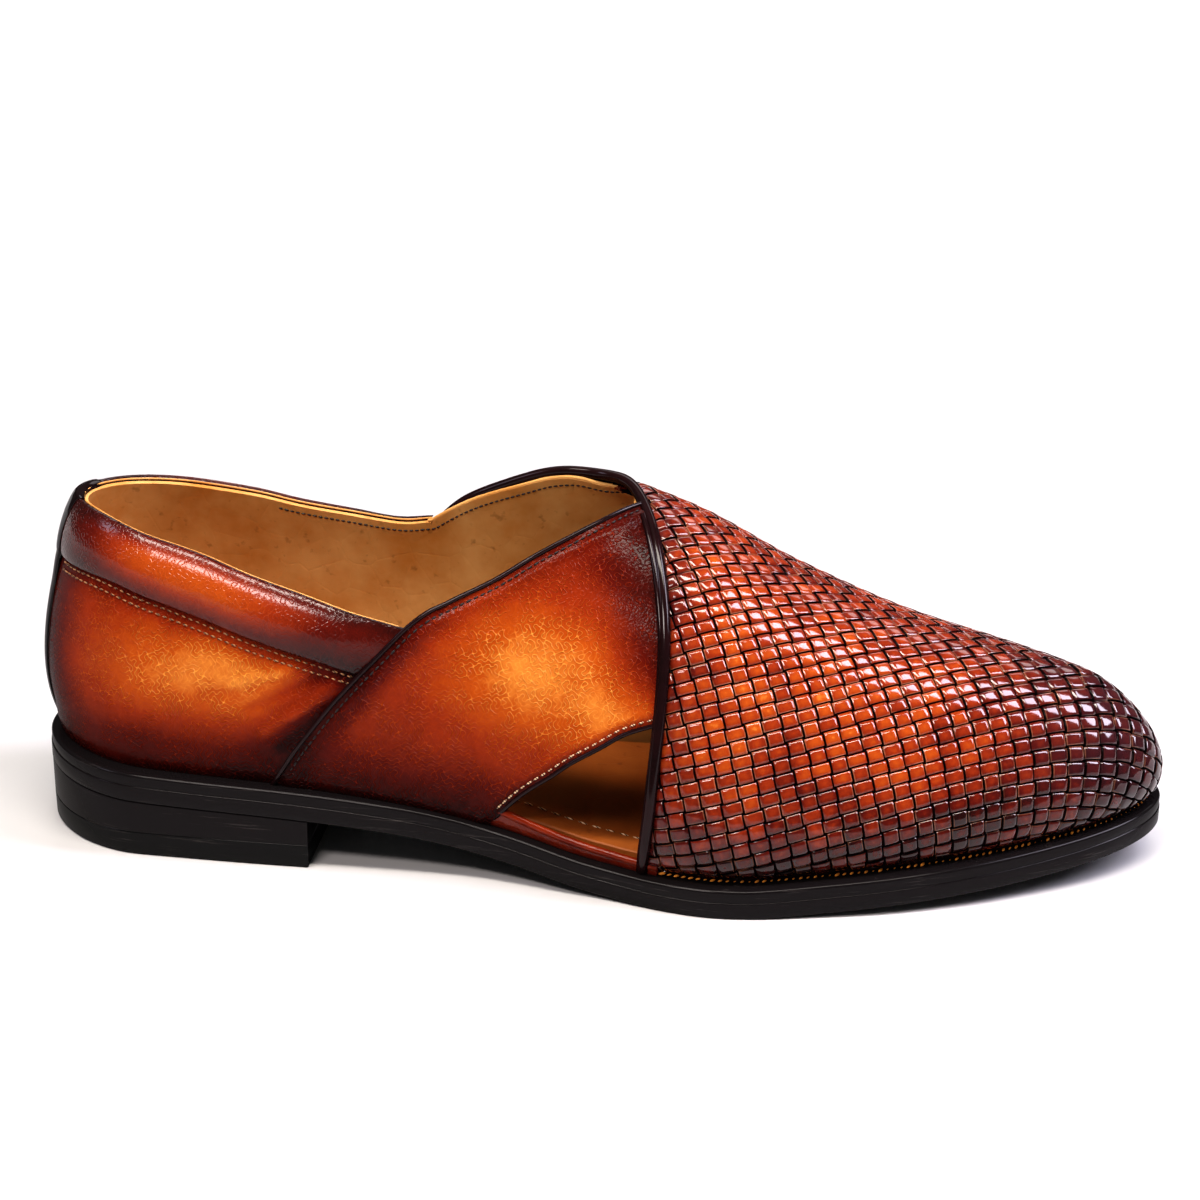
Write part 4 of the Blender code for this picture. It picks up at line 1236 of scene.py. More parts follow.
def trim_paths(sizes):
    """Each cord's name, path, radius, finish, slot and the solids it stands for."""
    piping = table_line({"station": (165.2,) + PIPING_LINE["station"] + (70.6,),
                         "girth": (-1.004,) + PIPING_LINE["girth"] + (1.0,)}, CORD_STEP)
    girth = piping[:, 1]
    piping = beside(piping, 1.2 * (ease(-0.32, 0.14, girth) * (1 - ease(0.50, 0.62, girth))))
    girth = piping[:, 1]
    level = ease(-0.75, 0.10, girth) * (1 - ease(0.50, 0.62, girth))
    thin = (0.55 + 0.45 * ease(-0.62, -0.12, girth)) * (1 - 0.28 * ease(-0.10, 0.45, girth))
    cord = off_last(piping, (0.85 - 0.65 * level) * thin)
    # the cord turns the corner of the instep in a round bend
    reach = np.arange(-BEND, BEND + 1)
    near = np.clip(np.arange(len(cord))[:, None] + reach, 0, len(cord) - 1)
    weights = np.cos(reach * math.pi / (2 * BEND + 2))
    rounded = (cord[near] * weights[:, None]).sum(1) / weights.sum()
    corner = ease(-0.55, -0.30, girth) * (1 - ease(0.30, 0.50, girth))
    cord += (rounded - cord) * corner[:, None]
    bead = beside(piping, (sizes.piping + sizes.bead) / MM * thin - 0.3)
    inner = topline(1, 200.0)
    inner = inner[inner[:, 0] > turn_of(100.0)]
    strap = table_line(STRAP_EDGE, CORD_STEP)
    points = on_last(strap)
    binding = strap_lift(points) - 0.35 + 0.7 * foot_flare(above_welt(points, strap[:, 0]))
    cut = beside(table_line(STRAP_LOWER, CORD_STEP), -0.1)
    rim = np.concatenate([topline(1, 101.5)[::-1], topline(-1, 101.0)[1:]])
    return (
        ("vamp_piping_cord", np.column_stack([cord, thin]), sizes.piping, "piping",
         "vamp_piping", ["vamp_piping"]),
        ("vamp_bead", np.column_stack([off_last(bead, thin), thin])[girth < -0.16], sizes.bead,
         "piping", "vamp_piping", []),
        ("vamp_lining_edge", off_last(inner, -1.9), 0.5 * MM, "lining", "upper", []),
        ("strap_binding", off_last(beside(strap, 0.1), binding), sizes.binding, "piping",
         "upper", []),
        ("cut_out_binding", off_last(cut, 0.25), 0.6 * MM, "piping", "upper", []),
        ("rand_bead", off_last(table_line(RAND_TOP, CORD_STEP), -0.15), 1.0 * MM, "rand",
         "upper", []),
        ("collar_edge_line", off_last(rim, -1.15) + (0.0, 0.0, 0.3), sizes.edge_line, "lining",
         "collar", []),
    )


def stitch_paths():
    """Each row's name, paths, thread, slot, slant, unevenness, and its pitch as a share of the
    usual."""
    strap = beside(table_line(STRAP_EDGE, CORD_STEP)[3:-3], -STITCH_GAP)
    cut = beside(table_line(STRAP_LOWER, CORD_STEP)[2:-2], CUT_STITCH_GAP)
    seams = [(side, collar_seam(side)[6:last]) for side, last in ((-1, -3), (1, -8))]
    rim = topline(1, 200.0)
    rim = beside(rim[rim[:, 0] > turn_of(60.0)], 2.4)
    x = np.linspace(70, 215, 120)
    along = np.linspace(turn_of(168.5), math.pi, 180)
    ends = np.concatenate([np.stack([along, np.full(180, -0.996)], axis=1),
                           np.stack([along[::-1], np.full(180, 0.996)], axis=1)[1:]])
    inset = read(WELT_LEDGE, "width", x) + WALL + 2 * GAP + 8.0
    insole = np.stack([x, outline(-1, x, inset=inset), welt_top(x) + GAP + INSOLE + 0.12], axis=1)
    return (
        ("strap_stitches", [off_last(strap, strap_lift(on_last(strap)) - 0.12)],
         "thread_dark", "upper", 0.1, 0.1, 1.0),
        ("cut_out_stitches", [off_last(cut, 0.72)], "thread_pale", "upper", 0.1, 0.15, 1.15),
        ("collar_stitches_1", [off_last(beside(seam, 1.1 * side), -0.25) for side, seam in seams],
         "thread_tan", "upper", 0.12, 0.15, 1.0),
        ("collar_stitches_2", [off_last(beside(seam, 3.0 * side), -0.25) for side, seam in seams],
         "thread_tan", "upper", 0.12, 0.15, 1.0),
        ("lining_stitches", [off_last(rim, -2.6)], "thread_dark", "upper", 0.1, 0.1, 0.8),
        ("insole_stitches", [insole], "thread_pale", "insole", 0.0, 0.1, 1.9),
        ("raw_strip_ends", [off_last(ends, 0.2)], "raw", "upper", 0.7, 0.55, 0.95),
    )


# ---- Materials -------------------------------------------------------------

VEIN = 0.0023                # metres in which the gyroid of the veins repeats


def linear(colour):
    """Linear colour from an sRGB hex value."""
    parts = [int(colour[k:k + 2], 16) / 255 for k in (1, 3, 5)]
    return *(p / 12.92 if p <= 0.04045 else ((p + 0.055) / 1.055) ** 2.4 for p in parts), 1.0


def new_material(name, colour, **shader):
    """Named material with its shader's fixed values set: the material, the function that adds
    a node to it, and the shader."""
    material = bpy.data.materials.new(name)
    material.use_nodes = True
    material.node_tree.nodes.clear()
    material.diffuse_color = linear(colour)
    node = partial(add_node, material.node_tree)
    shader = node("BsdfPrincipled", Base_Color=linear(colour), **shader)
    node("OutputMaterial", shader)
    return material, node, shader


def stirred(node, tone, *noises):
    """A tone moved up and down round its own value by noises, each with its share."""
    for noise, share in noises:
        swing = node("Math", noise, 0.5, operation="SUBTRACT")
        tone = node("Math", swing, share, tone, operation="MULTIPLY_ADD")
    return tone


def burnished_calf(name, stops, gloss=0.3, vein=1.0, coat=0.24):
    """Crust calf, hand-stained and waxed: light where the stain is rubbed back, mahogany at
    seams and edges, with fine curled veins that break up a long soft shine. The veins take a
    painted highlight on their crests and painted shade between them; on some pieces the stain
    layer also holds painted light and shade."""
    material, node, shader = new_material(name, stops[1][1], IOR=1.5, Specular_IOR_Level=0.0,
                                          Coat_Weight=coat, Coat_Roughness=0.15, Coat_IOR=1.4)
    where = node("TexCoord").outputs["Object"]
    # the layer holds the stain, with painted shade low on the collar and painted light on the
    # quarter's creases and at one place on the strap
    shade = node("Attribute", attribute_name="burnish").outputs["Fac"]
    # stain lies in clouds 12 mm across, with a finer mottle of 2 mm
    cloud = node("TexNoise", where, Scale=85.0, Detail=3.0, Roughness=0.55)
    mottle = node("TexNoise", where, Scale=520.0, Detail=2.0)
    tone = stirred(node, shade, (cloud, 0.24), (mottle, 0.14))
    # veins are the lines where a gyroid, pushed about by noise, meets the skin: curled, 1.1 mm
    # apart and 0.3 mm wide
    drift = node("TexNoise", where, Scale=175.0, Detail=1.0).outputs["Color"]
    wide = node("VectorMath", where, (TAU / VEIN,) * 3, operation="MULTIPLY")
    pushed = node("VectorMath", drift, (5.0, 5.0, 5.0), wide, operation="MULTIPLY_ADD")
    parts = node("SeparateXYZ", pushed).outputs
    turned = node("CombineXYZ", parts["Y"], parts["Z"], parts["X"])
    sines = node("VectorMath", pushed, operation="SINE")
    cosines = node("VectorMath", turned, operation="COSINE")
    gyroid = node("VectorMath", sines, cosines, operation="DOT_PRODUCT")
    level = node("Math", gyroid, operation="ABSOLUTE")
    ridge = node("MapRange", level, 0.0, 0.6, 1.0, 0.0, interpolation_type="SMOOTHSTEP")
    patch = node("TexNoise", where, Scale=170.0, Detail=1.0)
    shown = node("MapRange", patch, 0.38, 0.54, 0.2)
    veins = node("Math", ridge, shown, operation="MULTIPLY")
    # painted highlight on their crests and painted shade between them
    vein_light_and_shade = node("Math", veins, 0.3, operation="SUBTRACT")
    tone = node("Math", vein_light_and_shade, -0.22 * vein, tone, operation="MULTIPLY_ADD", use_clamp=True)
    pores = node("TexVoronoi", where, Scale=1500.0)
    height = node("Math", pores, 0.2, veins, operation="MULTIPLY_ADD")
    bump = node("Bump", Height=height, Strength=vein, Distance=0.0002)
    plug(shader, Base_Color=node("ValToRGB", tone, stops=stops), Normal=bump, Coat_Normal=bump,
         Roughness=node("Math", cloud, 0.22, gloss - 0.11, operation="MULTIPLY_ADD"))
    return material


def woven_calf(colours):
    """Calf strips, skived, dyed in the piece and stained again once woven: each crossing is
    domed and glossy, its tone a little its own, with a painted highlight in its middle; black is
    painted between them, partly stain and partly the shade of the gaps, and a thin pale line
    round each, partly wax and partly a painted glint."""
    material, node, shader = new_material("woven_calf_strips", colours.tan, IOR=1.5,
                                          Specular_IOR_Level=0.0, Coat_Roughness=0.10)
    where = node("TexCoord").outputs["Object"]
    shade, smoke, rise = [node("Attribute", attribute_name=layer).outputs["Fac"]
                          for layer in ("burnish", "smoke", "rise")]
    # the chart counts crossings along a strip, and strips across
    half = node("VectorMath", node("UVMap", uv_map="strip"), (0.5, 0.5, 0.0))
    crossing = node("VectorMath", half, operation="FLOOR")
    inside = node("VectorMath", half, crossing, operation="SUBTRACT")
    off = node("VectorMath", inside, (0.5, 0.5, 0.0), operation="SUBTRACT")
    away = node("VectorMath", off, operation="ABSOLUTE")
    apart = node("SeparateXYZ", away).outputs
    own = node("TexWhiteNoise", crossing, noise_dimensions="2D")
    cloud = node("TexNoise", where, Scale=70.0, Detail=2.0)
    mottle = node("TexNoise", where, Scale=700.0, Detail=3.0, Roughness=0.6)
    tone = stirred(node, shade, (own, 0.26), (cloud, 0.55), (mottle, 0.30))
    # painted highlight: a tile is a little lighter in its middle and darker towards its edges
    far = node("VectorMath", away, operation="LENGTH")
    tone = node("Math", tone, node("MapRange", far, 0.0, 0.5, -0.05, 0.13), use_clamp=True)
    # black where a strip dives and along its edges, partly stain and partly painted shade in the
    # gaps between strips: gaps 0.5 mm wide
    dive = node("MapRange", rise, 0.12, -0.12)
    brink = node("MapRange", apart["Y"], 0.415, 0.44)
    gap_shade_and_stain = node("Math", dive, brink, operation="MAXIMUM")
    colour = node("ValToRGB", tone, stops=tones(colours, 0.22, 0.48, 0.74))
    plum = node("Mix", smoke, colour, linear(colours.smoke), data_type="RGBA")
    # the edge of a tile shows a thin pale line, 0.2 mm wide, partly wax caught on it and partly a
    # painted glint
    rim_x = node("MapRange", apart["X"], 0.435, 0.46)
    rim_y = node("MapRange", apart["Y"], 0.355, 0.385)
    rim = node("Math", rim_x, rim_y, operation="MAXIMUM")
    torn = node("TexNoise", where, Scale=160.0, Detail=1.0)
    some = node("MapRange", torn, 0.44, 0.60, 0.0, 0.42)
    clear = node("Math", shade, -1.0, 1.15, operation="MULTIPLY_ADD")
    shown = node("Math", rim, some, operation="MULTIPLY")
    pale = node("Math", shown, clear, operation="MULTIPLY")
    edged = node("Mix", pale, plum, linear(colours.wax), data_type="RGBA")
    # the gaps' painted shade and edge stain take the backstay's near-black
    inked = node("Mix", gap_shade_and_stain, edged, linear(colours.backstay), data_type="RGBA")
    grain = node("TexNoise", where, Scale=1400.0, Detail=3.0)
    plug(shader, Base_Color=inked, Roughness=node("MapRange", mottle, 0.3, 0.7, 0.22, 0.38),
         Coat_Weight=node("Math", gap_shade_and_stain, -0.93, 1.0, operation="MULTIPLY_ADD"),
         Normal=node("Bump", Height=grain, Strength=0.28, Distance=0.00006))
    return material


def edge_calf(name, colour, glint, gloss=0.22):
    """Calf turned over a cord and edge-inked: near one dark colour, waxed to a high shine."""
    material, node, shader = new_material(name, colour, IOR=1.5, Coat_Weight=0.4,
                                          Coat_Roughness=0.1, Specular_IOR_Level=0.0)
    where = node("TexCoord").outputs["Object"]
    cloud = node("TexNoise", where, Scale=120.0, Detail=3.0)
    grain = node("TexNoise", where, Scale=1300.0, Detail=2.0)
    plug(shader, Base_Color=node("ValToRGB", cloud, stops=((0.32, colour), (0.75, glint))),
         Roughness=node("MapRange", cloud, 0.0, 1.0, gloss - 0.06, gloss + 0.12),
         Normal=node("Bump", Height=grain, Strength=0.2, Distance=0.00005))
    return material


def lining_leather(name, light, mid, spot, gloss=0.5, shaded_middle=False):
    """Vegetable-tanned lining, polished by the foot: even tan with pores, faint creases and
    small brown specks, only a dull shine. It takes painted shade where its layer says, and an
    insole also along the middle of its front half."""
    material, node, shader = new_material(name, mid, IOR=1.45, Coat_Weight=0.06,
                                          Coat_Roughness=0.35, Specular_IOR_Level=0.12)
    where = node("TexCoord").outputs["Object"]
    cloud = node("TexNoise", where, Scale=60.0, Detail=4.0, Roughness=0.6)
    speck = node("TexNoise", where, Scale=380.0, Detail=2.0)
    crease = node("TexVoronoi", where, Scale=110.0, feature="DISTANCE_TO_EDGE")
    grain = node("TexNoise", where, Scale=1500.0, Detail=2.0)
    base = node("ValToRGB", cloud, stops=((0.3, mid), (0.7, light)))
    spots = node("MapRange", speck, 0.64, 0.76, 0.0, 0.35)
    # painted shade, as the piece's layer gives it
    dark = node("Attribute", attribute_name="burnish").outputs["Fac"]
    if shaded_middle:
        # painted shade in a band 48 mm wide, 12 mm to the lateral side of the part's middle
        parts = node("SeparateXYZ", where).outputs
        along = node("MapRange", parts["X"], -0.095, -0.02, interpolation_type="SMOOTHSTEP")
        side = node("Math", parts["Y"], 0.012, operation="ADD")
        away = node("Math", side, operation="ABSOLUTE")
        middle = node("MapRange", away, 0.006, 0.024, 0.8, 0.0, interpolation_type="SMOOTHSTEP")
        dark = node("Math", along, middle, operation="MULTIPLY")
    stained = node("Math", spots, dark, operation="MAXIMUM")
    fold = node("MapRange", crease, 0.0, 0.05)
    height = node("Math", grain, 0.4, fold, operation="MULTIPLY_ADD")
    plug(shader, Base_Color=node("Mix", stained, base, linear(spot), data_type="RGBA"),
         Roughness=node("MapRange", cloud, 0.0, 1.0, gloss - 0.08, gloss + 0.12),
         Normal=node("Bump", Height=height, Strength=0.3, Distance=0.00007))
    return material


def waxed_edge(name, colour, scuff, gloss=0.34):
    """Sole leather, cut, inked black and waxed: satin, with thin lengthwise scratches that
    show a little grey."""
    material, node, shader = new_material(name, colour, IOR=1.48, Coat_Weight=0.26,
                                          Coat_Roughness=0.12, Specular_IOR_Level=0.0)
    where = node("TexCoord").outputs["Object"]
    long = node("Mapping", where, Scale=(1.0, 1.0, 26.0))
    line = node("TexNoise", long, Scale=42.0, Detail=5.0, Roughness=0.7)
    cloud = node("TexNoise", where, Scale=55.0, Detail=3.0)
    thin = node("MapRange", line, 0.60, 0.70, 0.0, 0.5)
    plug(shader, Base_Color=node("Mix", thin, linear(colour), linear(scuff), data_type="RGBA"),
         Roughness=node("MapRange", cloud, 0.3, 0.7, gloss - 0.06, gloss + 0.14),
         Normal=node("Bump", Height=line, Strength=0.22, Distance=0.00008))
    return material


def waxed_thread(name, colour, shadow):
    """Twisted linen thread drawn through wax: matt, darker between its strands."""
    material, node, shader = new_material(name, colour, IOR=1.5, Roughness=0.55)
    # strands 0.57 mm apart, twice as coarse as real ones, so that they show
    strand = node("TexWave", node("TexCoord").outputs["Object"], Scale=640.0, Distortion=1.5,
                  bands_direction="DIAGONAL").outputs["Fac"]
    plug(shader, Base_Color=node("ValToRGB", strand, stops=((0.1, shadow), (0.6, colour))))
    return material


def tones(colours, *places):
    """Stops of the stain's ramp, from rubbed right back to darkest; places are the inner ones."""
    stains = (colours.amber, colours.tan, colours.chestnut, colours.mahogany, colours.ebony)
    return tuple(zip((0.0, *places, 1.0), stains))


def make_materials(colours):
    """Every finish by the name its pieces use."""
    stops = tones(colours, 0.25, 0.5, 0.76)
    return {
        "panel": burnished_calf("burnished_calf_panel", stops),
        "collar": burnished_calf("burnished_calf_collar", stops, 0.3, 0.3, 0.9),
        "weave": woven_calf(colours),
        "piping": edge_calf("inked_calf_piping", colours.piping, colours.piping_glint),
        "rand": edge_calf("inked_calf_rand", colours.mahogany, colours.chestnut, 0.24),
        "backstay": edge_calf("inked_calf_backstay", colours.backstay, colours.piping, 0.3),
        "lining": lining_leather("tanned_lining_leather", colours.lining_light, colours.lining,
                                 colours.lining_specks_and_shade),
        "insole": lining_leather("polished_insole_leather", colours.insole_light, colours.insole,
                                 colours.insole_specks_and_shade, 0.38, True),
        "sole": waxed_edge("waxed_sole_leather", colours.sole, colours.scuff),
        "rubber": waxed_edge("moulded_heel_rubber", colours.rubber, colours.scuff, 0.5),
        "backing": lining_leather("dyed_backing_leather", colours.ebony, colours.sole,
                                  colours.sole, 0.6),
        "thread_dark": waxed_thread("waxed_thread_black", colours.thread_dark, colours.sole),
        "thread_pale": waxed_thread("waxed_thread_pale", colours.thread_pale, colours.thread_dark),
        "thread_tan": waxed_thread("waxed_thread_tan", colours.thread_tan, colours.thread_dark),
        "raw": lining_leather("raw_strip_ends", colours.amber, colours.amber, colours.ebony, 0.6),
    }


# ---- Sizes and colours -----------------------------------------------------

def millimetres(name, description, value):
    return FloatProperty(name=name, description=description, default=value * MM, min=0.0,
                         unit="LENGTH", precision=5)


def degrees(name, description, value):
    return FloatProperty(name=name, description=description, default=math.radians(value),
                         subtype="ANGLE")


def amount(name, description, value, **more):
    return FloatProperty(name=name, description=description, default=value, **more)


def stain(name, description, value):
    return StringProperty(name=name, description=description, default=value)


class WeaveSizes(PropertyGroup):
    """Sizes of the vamp's weave"""
    column_pitch: millimetres("Column pitch", "Distance between strips that run down", 4.65)
    row_pitch: millimetres("Row pitch", "Distance between strips that run along", 3.58)
    strip_share: amount("Strip width", "Width as a share of the pitch", 0.92, min=0.5, max=1.0,
                        subtype="FACTOR")
    strip_thickness: millimetres("Strip thickness", "Thickness of the calf strips", 0.7)
    weave_height: millimetres("Weave height", "Rise of a strip over the middle", 0.42)
    weave_snap: amount("Snap", "How flat a strip lies over a crossing", 3.8, min=0.1, max=6.0)
    bias: degrees("Bias", "Turn of the weave from the ridge of the vamp", 45)


class TrimSizes(PropertyGroup):
    """Sizes of cords, bound edges and stitches"""
    piping: millimetres("Piping", "Radius of the vamp's piping", 1.5)
    bead: millimetres("Bead", "Radius of the bead beside the piping", 0.75)
    binding: millimetres("Binding", "Radius of the strap's bound edge", 0.62)
    edge_line: millimetres("Edge line", "Radius of the pale line on the collar's rim", 0.25)
    stitch_pitch: millimetres("Stitch pitch", "Distance between stitches", 1.95)
    stitch_length: millimetres("Stitch length", "Length of one stitch", 1.5)
    thread: millimetres("Thread", "Thickness of the thread", 0.5)


class ShoeColours(PropertyGroup):
    """Colours of the leathers, as sRGB hex values"""
    amber: stain("Amber", "Stain rubbed right back", "#E2933F")
    tan: stain("Tan", "Light stain", "#A84A13")
    chestnut: stain("Chestnut", "Middle stain", "#872D0E")
    mahogany: stain("Mahogany", "Dark stain", "#541208")
    ebony: stain("Ebony", "Darkest stain", "#220807")
    smoke: stain("Smoke", "Toe stain", "#33151B")
    # also the painted glint on the edges of the woven strips
    wax: stain("Wax", "Cut edge of a strip", "#C88A64")
    piping: stain("Piping", "Piping leather", "#170A0B")
    piping_glint: stain("Piping rubbed", "Piping, rubbed", "#220E10")
    # also the painted shade in the gaps of the weave
    backstay: stain("Backstay", "Backstay leather", "#0D0708")
    lining: stain("Lining", "Lining leather", "#C08340")
    lining_light: stain("Lining light", "Lining, polished", "#D8A868")
    # also the lining's painted shade low down, next to the insole
    lining_specks_and_shade: stain("Lining specks", "Specks of the lining", "#5A3416")
    insole: stain("Insole", "Insole leather", "#8A4A1E")
    insole_light: stain("Insole light", "Insole, polished", "#A25E2A")
    # also the painted shade along the middle of the insole's front half
    insole_specks_and_shade: stain("Insole worn", "Insole, darkened in wear", "#2A1006")
    sole: stain("Sole edge", "Inked sole leather", "#161314")
    scuff: stain("Scuffs", "Scratches of the sole", "#4A4543")
    rubber: stain("Rubber", "Heel's top piece", "#121212")
    thread_dark: stain("Dark thread", "Black thread", "#140D0C")
    thread_tan: stain("Tan thread", "Thread of the collar's seam", "#A9764A")
    thread_pale: stain("Pale thread", "Cream thread", "#E0BE98")


class StudioSizes(PropertyGroup):
    """Where the camera stands and how strong the lamps are"""
    elevation: degrees("Elevation", "Camera's height as an angle", 19.6)
    yaw: degrees("Yaw", "Camera's turn from the shoe's lateral side", 5.0)
    roll: degrees("Roll", "Camera's tilt", 1.15)
    distance: millimetres("Distance", "Camera to the middle of the shoe", 637)
    lens: amount("Lens", "Focal length in mm", 72.45, unit="CAMERA")
    top_light: amount("Top lamp", "Long overhead softbox", 9.5, unit="POWER")
    toe_light: amount("Toe lamp", "Tall strip past the toe", 12.0, unit="POWER")
    side_light: amount("Side lamp", "Softbox by the camera", 4.2, unit="POWER")
    heel_light: amount("Heel lamp", "Small softbox past the heel", 1.2, unit="POWER")
    back_light: amount("Back lamp", "Softbox behind", 3.0, unit="POWER")
    sun: amount("Ceiling", "Strength of the wide ceiling light", 0.12)
    sky: amount("Room light", "Strength of the white room", 0.12)


FINISHES = {}                            # filled by the first operator
VIEW_CENTRE = (149.0, 0.0, 64.5)         # place in the shoe that the camera looks at


# ---- Operators -------------------------------------------------------------

class SHOE_OT_finishes(Operator):
    """Makes the leathers, threads and edge inks"""
    bl_idname = "shoe.finishes"
    bl_label = "Finishes"

    def execute(self, context):
        FINISHES.update(make_materials(context.scene.shoe_colours))
        return {"FINISHED"}


class SHOE_OT_weave(Operator):
    """Weaves the vamp from calf strips over its dark backing"""
    bl_idname = "shoe.weave"
    bl_label = "Woven vamp"

    def execute(self, context):
        sizes = context.scene.shoe_weave
        finish_piece(shell("vamp_backing", FINISHES["backing"], *vamp_backing()), "upper", "upper")
        lattice = Lattice(sizes)
        for rows, family in ((True, "rows"), (False, "columns")):
            for odd in (0, 1):
                points, faces, layers, chart = weave_strips(lattice, rows, odd, sizes)
                finish_piece(new_piece(f"weave_{family}_{odd + 1}", points, faces,
                                       FINISHES["weave"], 60.0, layers, chart), "upper", "upper")
        return {"FINISHED"}


class SHOE_OT_panels(Operator):
    """Makes the quarter, the strap and the band under the cut-out"""
    bl_idname = "shoe.panels"
    bl_label = "Plain panels"

    def execute(self, context):
        for name, panel, finish in (("quarter", quarter_panel, "panel"),
                                    ("strap", strap_panel, "panel"),
                                    ("rand", rand_band, "collar")):
            finish_piece(shell(name, FINISHES[finish], *panel()), "upper", "upper")
        return {"FINISHED"}


class SHOE_OT_lining(Operator):
    """Lines the quarter, the strap and the vamp"""
    bl_idname = "shoe.lining"
    bl_label = "Lining"

    def execute(self, context):
        for name, inner, (turn, girth) in lining_panels():
            # painted shade: the lining darkens towards the insole over its lowest 10 mm above the
            # welt
            dark = 0.8 * (1 - ease(3.0, 10.0, above_welt(surface(turn, girth), turn)))
            finish_piece(shell(name, FINISHES["lining"], turn, girth, -1.35, inner,
                               {"burnish": dark}), "upper", "upper")
        return {"FINISHED"}


class SHOE_OT_collar(Operator):
    """Makes the padded collar and the backstay that crosses it"""
    bl_idname = "shoe.collar"
    bl_label = "Collar and backstay"

    def execute(self, context):
        rings, shade = collar_rings()
        collar = new_piece("collar_roll", *loft(rings), FINISHES["collar"], 60.0,
                           {"burnish": shade})
        finish_piece(collar, "collar", "collar")
        finish_piece(new_piece("backstay_strip", *loft(backstay_rings()), FINISHES["backstay"]),
                     "backstay", "backstay")
        return {"FINISHED"}


class SHOE_OT_trim(Operator):
    """Lays the piping, its bead and the bound edges"""
    bl_idname = "shoe.trim"
    bl_label = "Piping and bindings"

    def execute(self, context):
        cord = cord_tree()
        for name, path, radius, finish, slot, nodes in trim_paths(context.scene.shoe_trim):
            finish_piece(grow(name, cord, [path], Radius=radius, Sides=14,
                              Finish=FINISHES[finish]), slot, *nodes)
        return {"FINISHED"}


class SHOE_OT_stitches(Operator):
    """Sews the strap, the collar seam, the lining and the insole"""
    bl_idname = "shoe.stitches"
    bl_label = "Stitches"

    def execute(self, context):
        sizes = context.scene.shoe_trim
        thread = stitch_tree()
        for name, paths, finish, slot, slant, uneven, share in stitch_paths():
            finish_piece(grow(name, thread, paths, Pitch=sizes.stitch_pitch * share,
                              Length=sizes.stitch_length * share, Thickness=sizes.thread,
                              Slant=slant, Uneven=uneven, Finish=FINISHES[finish]), slot)
        return {"FINISHED"}


class SHOE_OT_sole(Operator):
    """Makes the welt, the outsole and the heel, and finishes the insole"""
    bl_idname = "shoe.sole"
    bl_label = "Sole and heel"

    def execute(self, context):
        for name, node, finish, rings, count in sole_blocks():
            finish_piece(new_piece(name, *stack_rings(rings, count), FINISHES[finish], 40.0),
                         node, node)
        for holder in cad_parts["insole"].material_slots:
            holder.material = FINISHES["insole"]
        return {"FINISHED"}


class SHOE_OT_studio(Operator):
    """Sets up the pale floor, the soft lamps and the camera"""
    bl_idname = "shoe.studio"
    bl_label = "Studio"

    def execute(self, context):
        studio = context.scene.shoe_studio
        view = context.scene.view_settings
        view.view_transform, view.look = "Standard", "Medium High Contrast"
        make_floor()
        make_room(context.scene, studio.sky)
        for lamp in (
                ("top_softbox", (0.0, -0.24, 0.92), (0.0, 0.0, 0.05), (0.9, 0.14),
                 studio.top_light, "#FFF6EC"),
                ("toe_strip", (0.80, 0.0, 0.78), (0.08, 0.0, 0.05), (0.30, 0.72),
                 studio.toe_light, "#F2ECFF"),
                ("side_softbox", (-0.25, -0.66, 0.82), (-0.08, 0.0, 0.07), (0.34, 0.15),
                 studio.side_light, "#FFF4F0"),
                ("heel_softbox", (-0.85, -0.26, 0.78), (-0.12, 0.0, 0.07), (0.2, 0.3),
                 studio.heel_light, "#EEE8FF"),
                ("back_softbox", (0.1, 0.75, 0.8), (0.0, 0.0, 0.05), (1.2, 0.25),
                 studio.back_light, "#FFFFFF")):
            add_lamp(*lamp)
        add_sun("soft_sun", (-0.35, 0.30, 1.0), studio.sun)
        add_camera(context.scene, studio)
        return {"FINISHED"}


def make_floor():
    """Pale floor that glows a little far from the shoe, so that it has no horizon."""
    mesh = bpy.data.meshes.new("studio_floor")
    half = 80.0
    mesh.from_pydata([(-half, -half, 0), (half, -half, 0), (half, half, 0), (-half, half, 0)], [],
                     [(0, 1, 2, 3)])
    material, node, shader = new_material("white_acrylic_sheet", "#CFCFCF", IOR=1.45,
                                          Emission_Color=linear("#FFFFFF"))
    where = node("TexCoord").outputs["Object"]
    haze = node("TexNoise", where, Scale=3.0)
    far = node("VectorMath", where, operation="LENGTH")
    plug(shader, Roughness=node("MapRange", haze, 0.0, 1.0, 0.3, 0.42),
         Emission_Strength=node("MapRange", far, 0.2, 1.3, interpolation_type="SMOOTHSTEP"))
    mesh.materials.append(material)
    floor = in_scene("studio_floor", mesh)


def make_room(scene, strength):
    world = bpy.data.worlds.new("white_room")
    world.use_nodes = True
    light = world.node_tree.nodes["Background"]
    light.inputs["Color"].default_value = linear("#FFFFFF")
    light.inputs["Strength"].default_value = strength
    scene.world = world


def add_lamp(name, at, aim, span, power, colour):
    """Softbox at a place, turned to what it lights."""
    data = bpy.data.lights.new(name, "AREA")
    data.shape = "RECTANGLE"
    data.size, data.size_y = span
    data.energy, data.color = power, linear(colour)[:3]
    lamp = in_scene(name, data)
    lamp.location = at
    lamp.rotation_euler = (Vector(aim) - Vector(at)).to_track_quat("-Z", "Y").to_euler()


def add_sun(name, at, strength):
    data = bpy.data.lights.new(name, "SUN")
    data.energy, data.angle = strength, math.radians(50)
    in_scene(name, data).rotation_euler = (-Vector(at)).to_track_quat("-Z", "Y").to_euler()


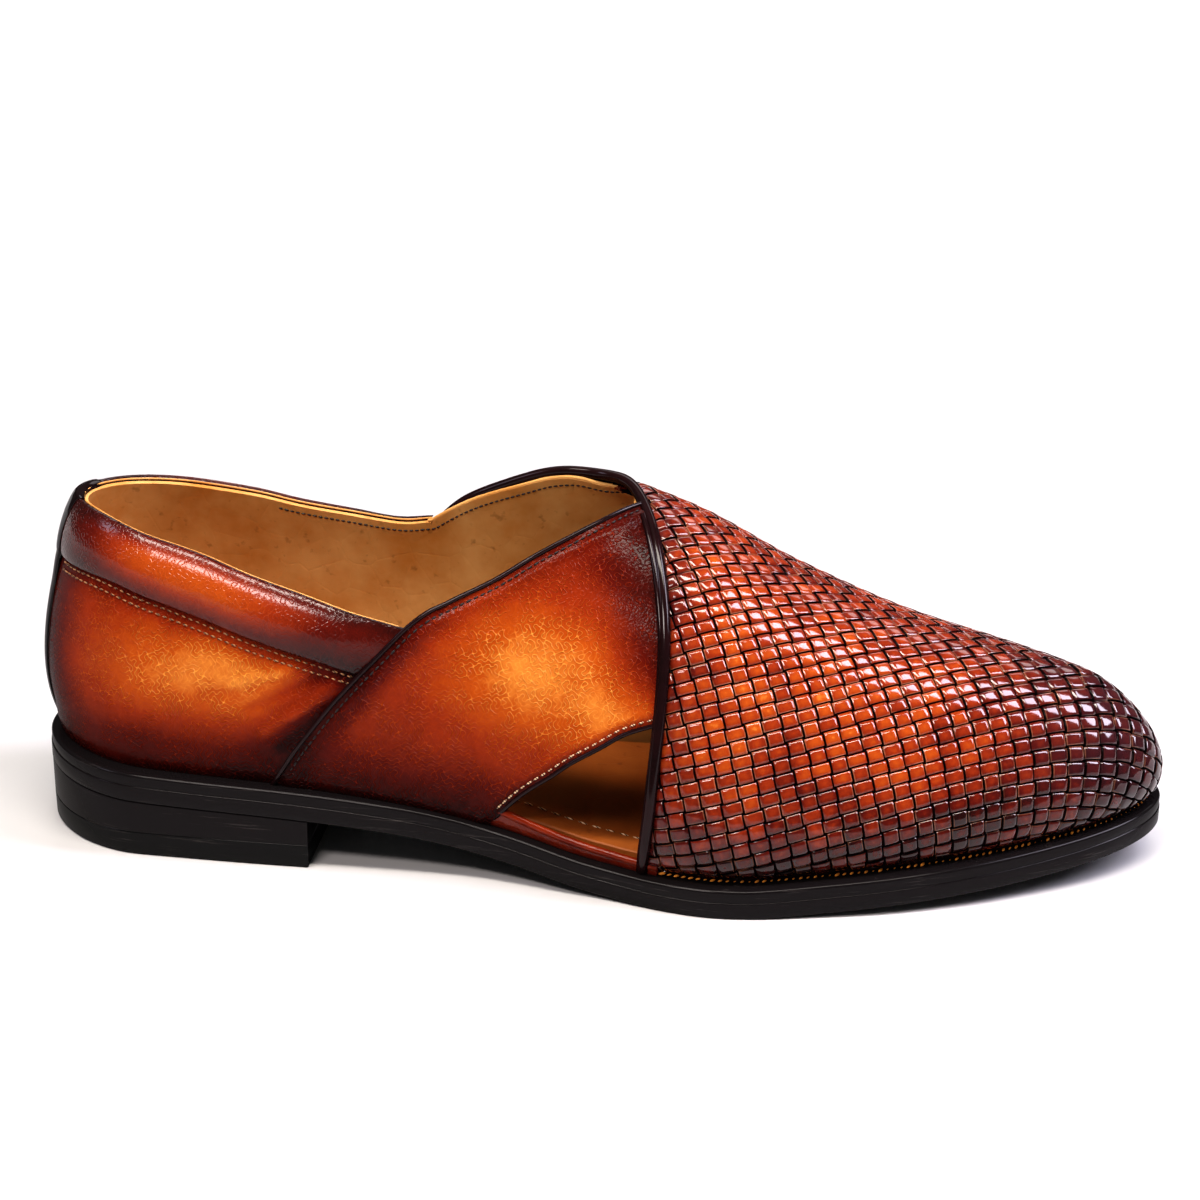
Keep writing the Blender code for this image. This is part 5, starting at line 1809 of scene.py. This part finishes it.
def add_camera(scene, studio):
    """Camera on the lateral side, a little above the shoe."""
    rise, yaw, roll = studio.elevation, studio.yaw, studio.roll
    ahead = Vector((-math.sin(yaw) * math.cos(rise), math.cos(yaw) * math.cos(rise),
                    -math.sin(rise)))
    right = Vector((math.cos(yaw), math.sin(yaw), 0.0))
    above = right.cross(ahead)
    side = right * math.cos(roll) + above * math.sin(roll)
    up = above * math.cos(roll) - right * math.sin(roll)
    data = bpy.data.cameras.new("studio_camera")
    data.sensor_width, data.lens, data.clip_start = 36.0, studio.lens, 0.01
    camera = in_scene("studio_camera", data)
    turn = Matrix((side, up, -ahead)).transposed().to_4x4()
    eye = Vector(place(VIEW_CENTRE)) - ahead * studio.distance
    camera.matrix_world = Matrix.Translation(eye) @ turn
    scene.camera = camera


# ---- Panel and registration ------------------------------------------------

GROUPS = (("shoe_weave", WeaveSizes), ("shoe_trim", TrimSizes), ("shoe_colours", ShoeColours),
          ("shoe_studio", StudioSizes))
OPERATORS = (SHOE_OT_finishes, SHOE_OT_weave, SHOE_OT_panels, SHOE_OT_lining, SHOE_OT_collar,
             SHOE_OT_trim, SHOE_OT_stitches, SHOE_OT_sole, SHOE_OT_studio)


class SHOE_PT_make(Panel):
    """Lists the shoe's sizes, colours and pieces"""
    bl_idname = "SHOE_PT_make"
    bl_label = "Peshawari shoe"
    bl_space_type = "VIEW_3D"
    bl_region_type = "UI"
    bl_category = "Shoe"

    def draw(self, context):
        for key, group in GROUPS:
            box = self.layout.box()
            box.label(text=group.__doc__)
            for field in group.__annotations__:
                box.prop(getattr(context.scene, key), field)
        for operator in OPERATORS:
            self.layout.operator(operator.bl_idname)


CLASSES = tuple(group for _, group in GROUPS) + OPERATORS + (SHOE_PT_make,)


def register():
    for cls in CLASSES:
        bpy.utils.register_class(cls)
    for key, group in GROUPS:
        setattr(bpy.types.Scene, key, PointerProperty(type=group))


def unregister():
    for key, _ in GROUPS:
        delattr(bpy.types.Scene, key)
    for cls in reversed(CLASSES):
        bpy.utils.unregister_class(cls)


def main():
    register()
    for step in OPERATORS:
        family, name = step.bl_idname.split(".")
        getattr(getattr(bpy.ops, family), name)()


if __name__ == "__main__":
    main()
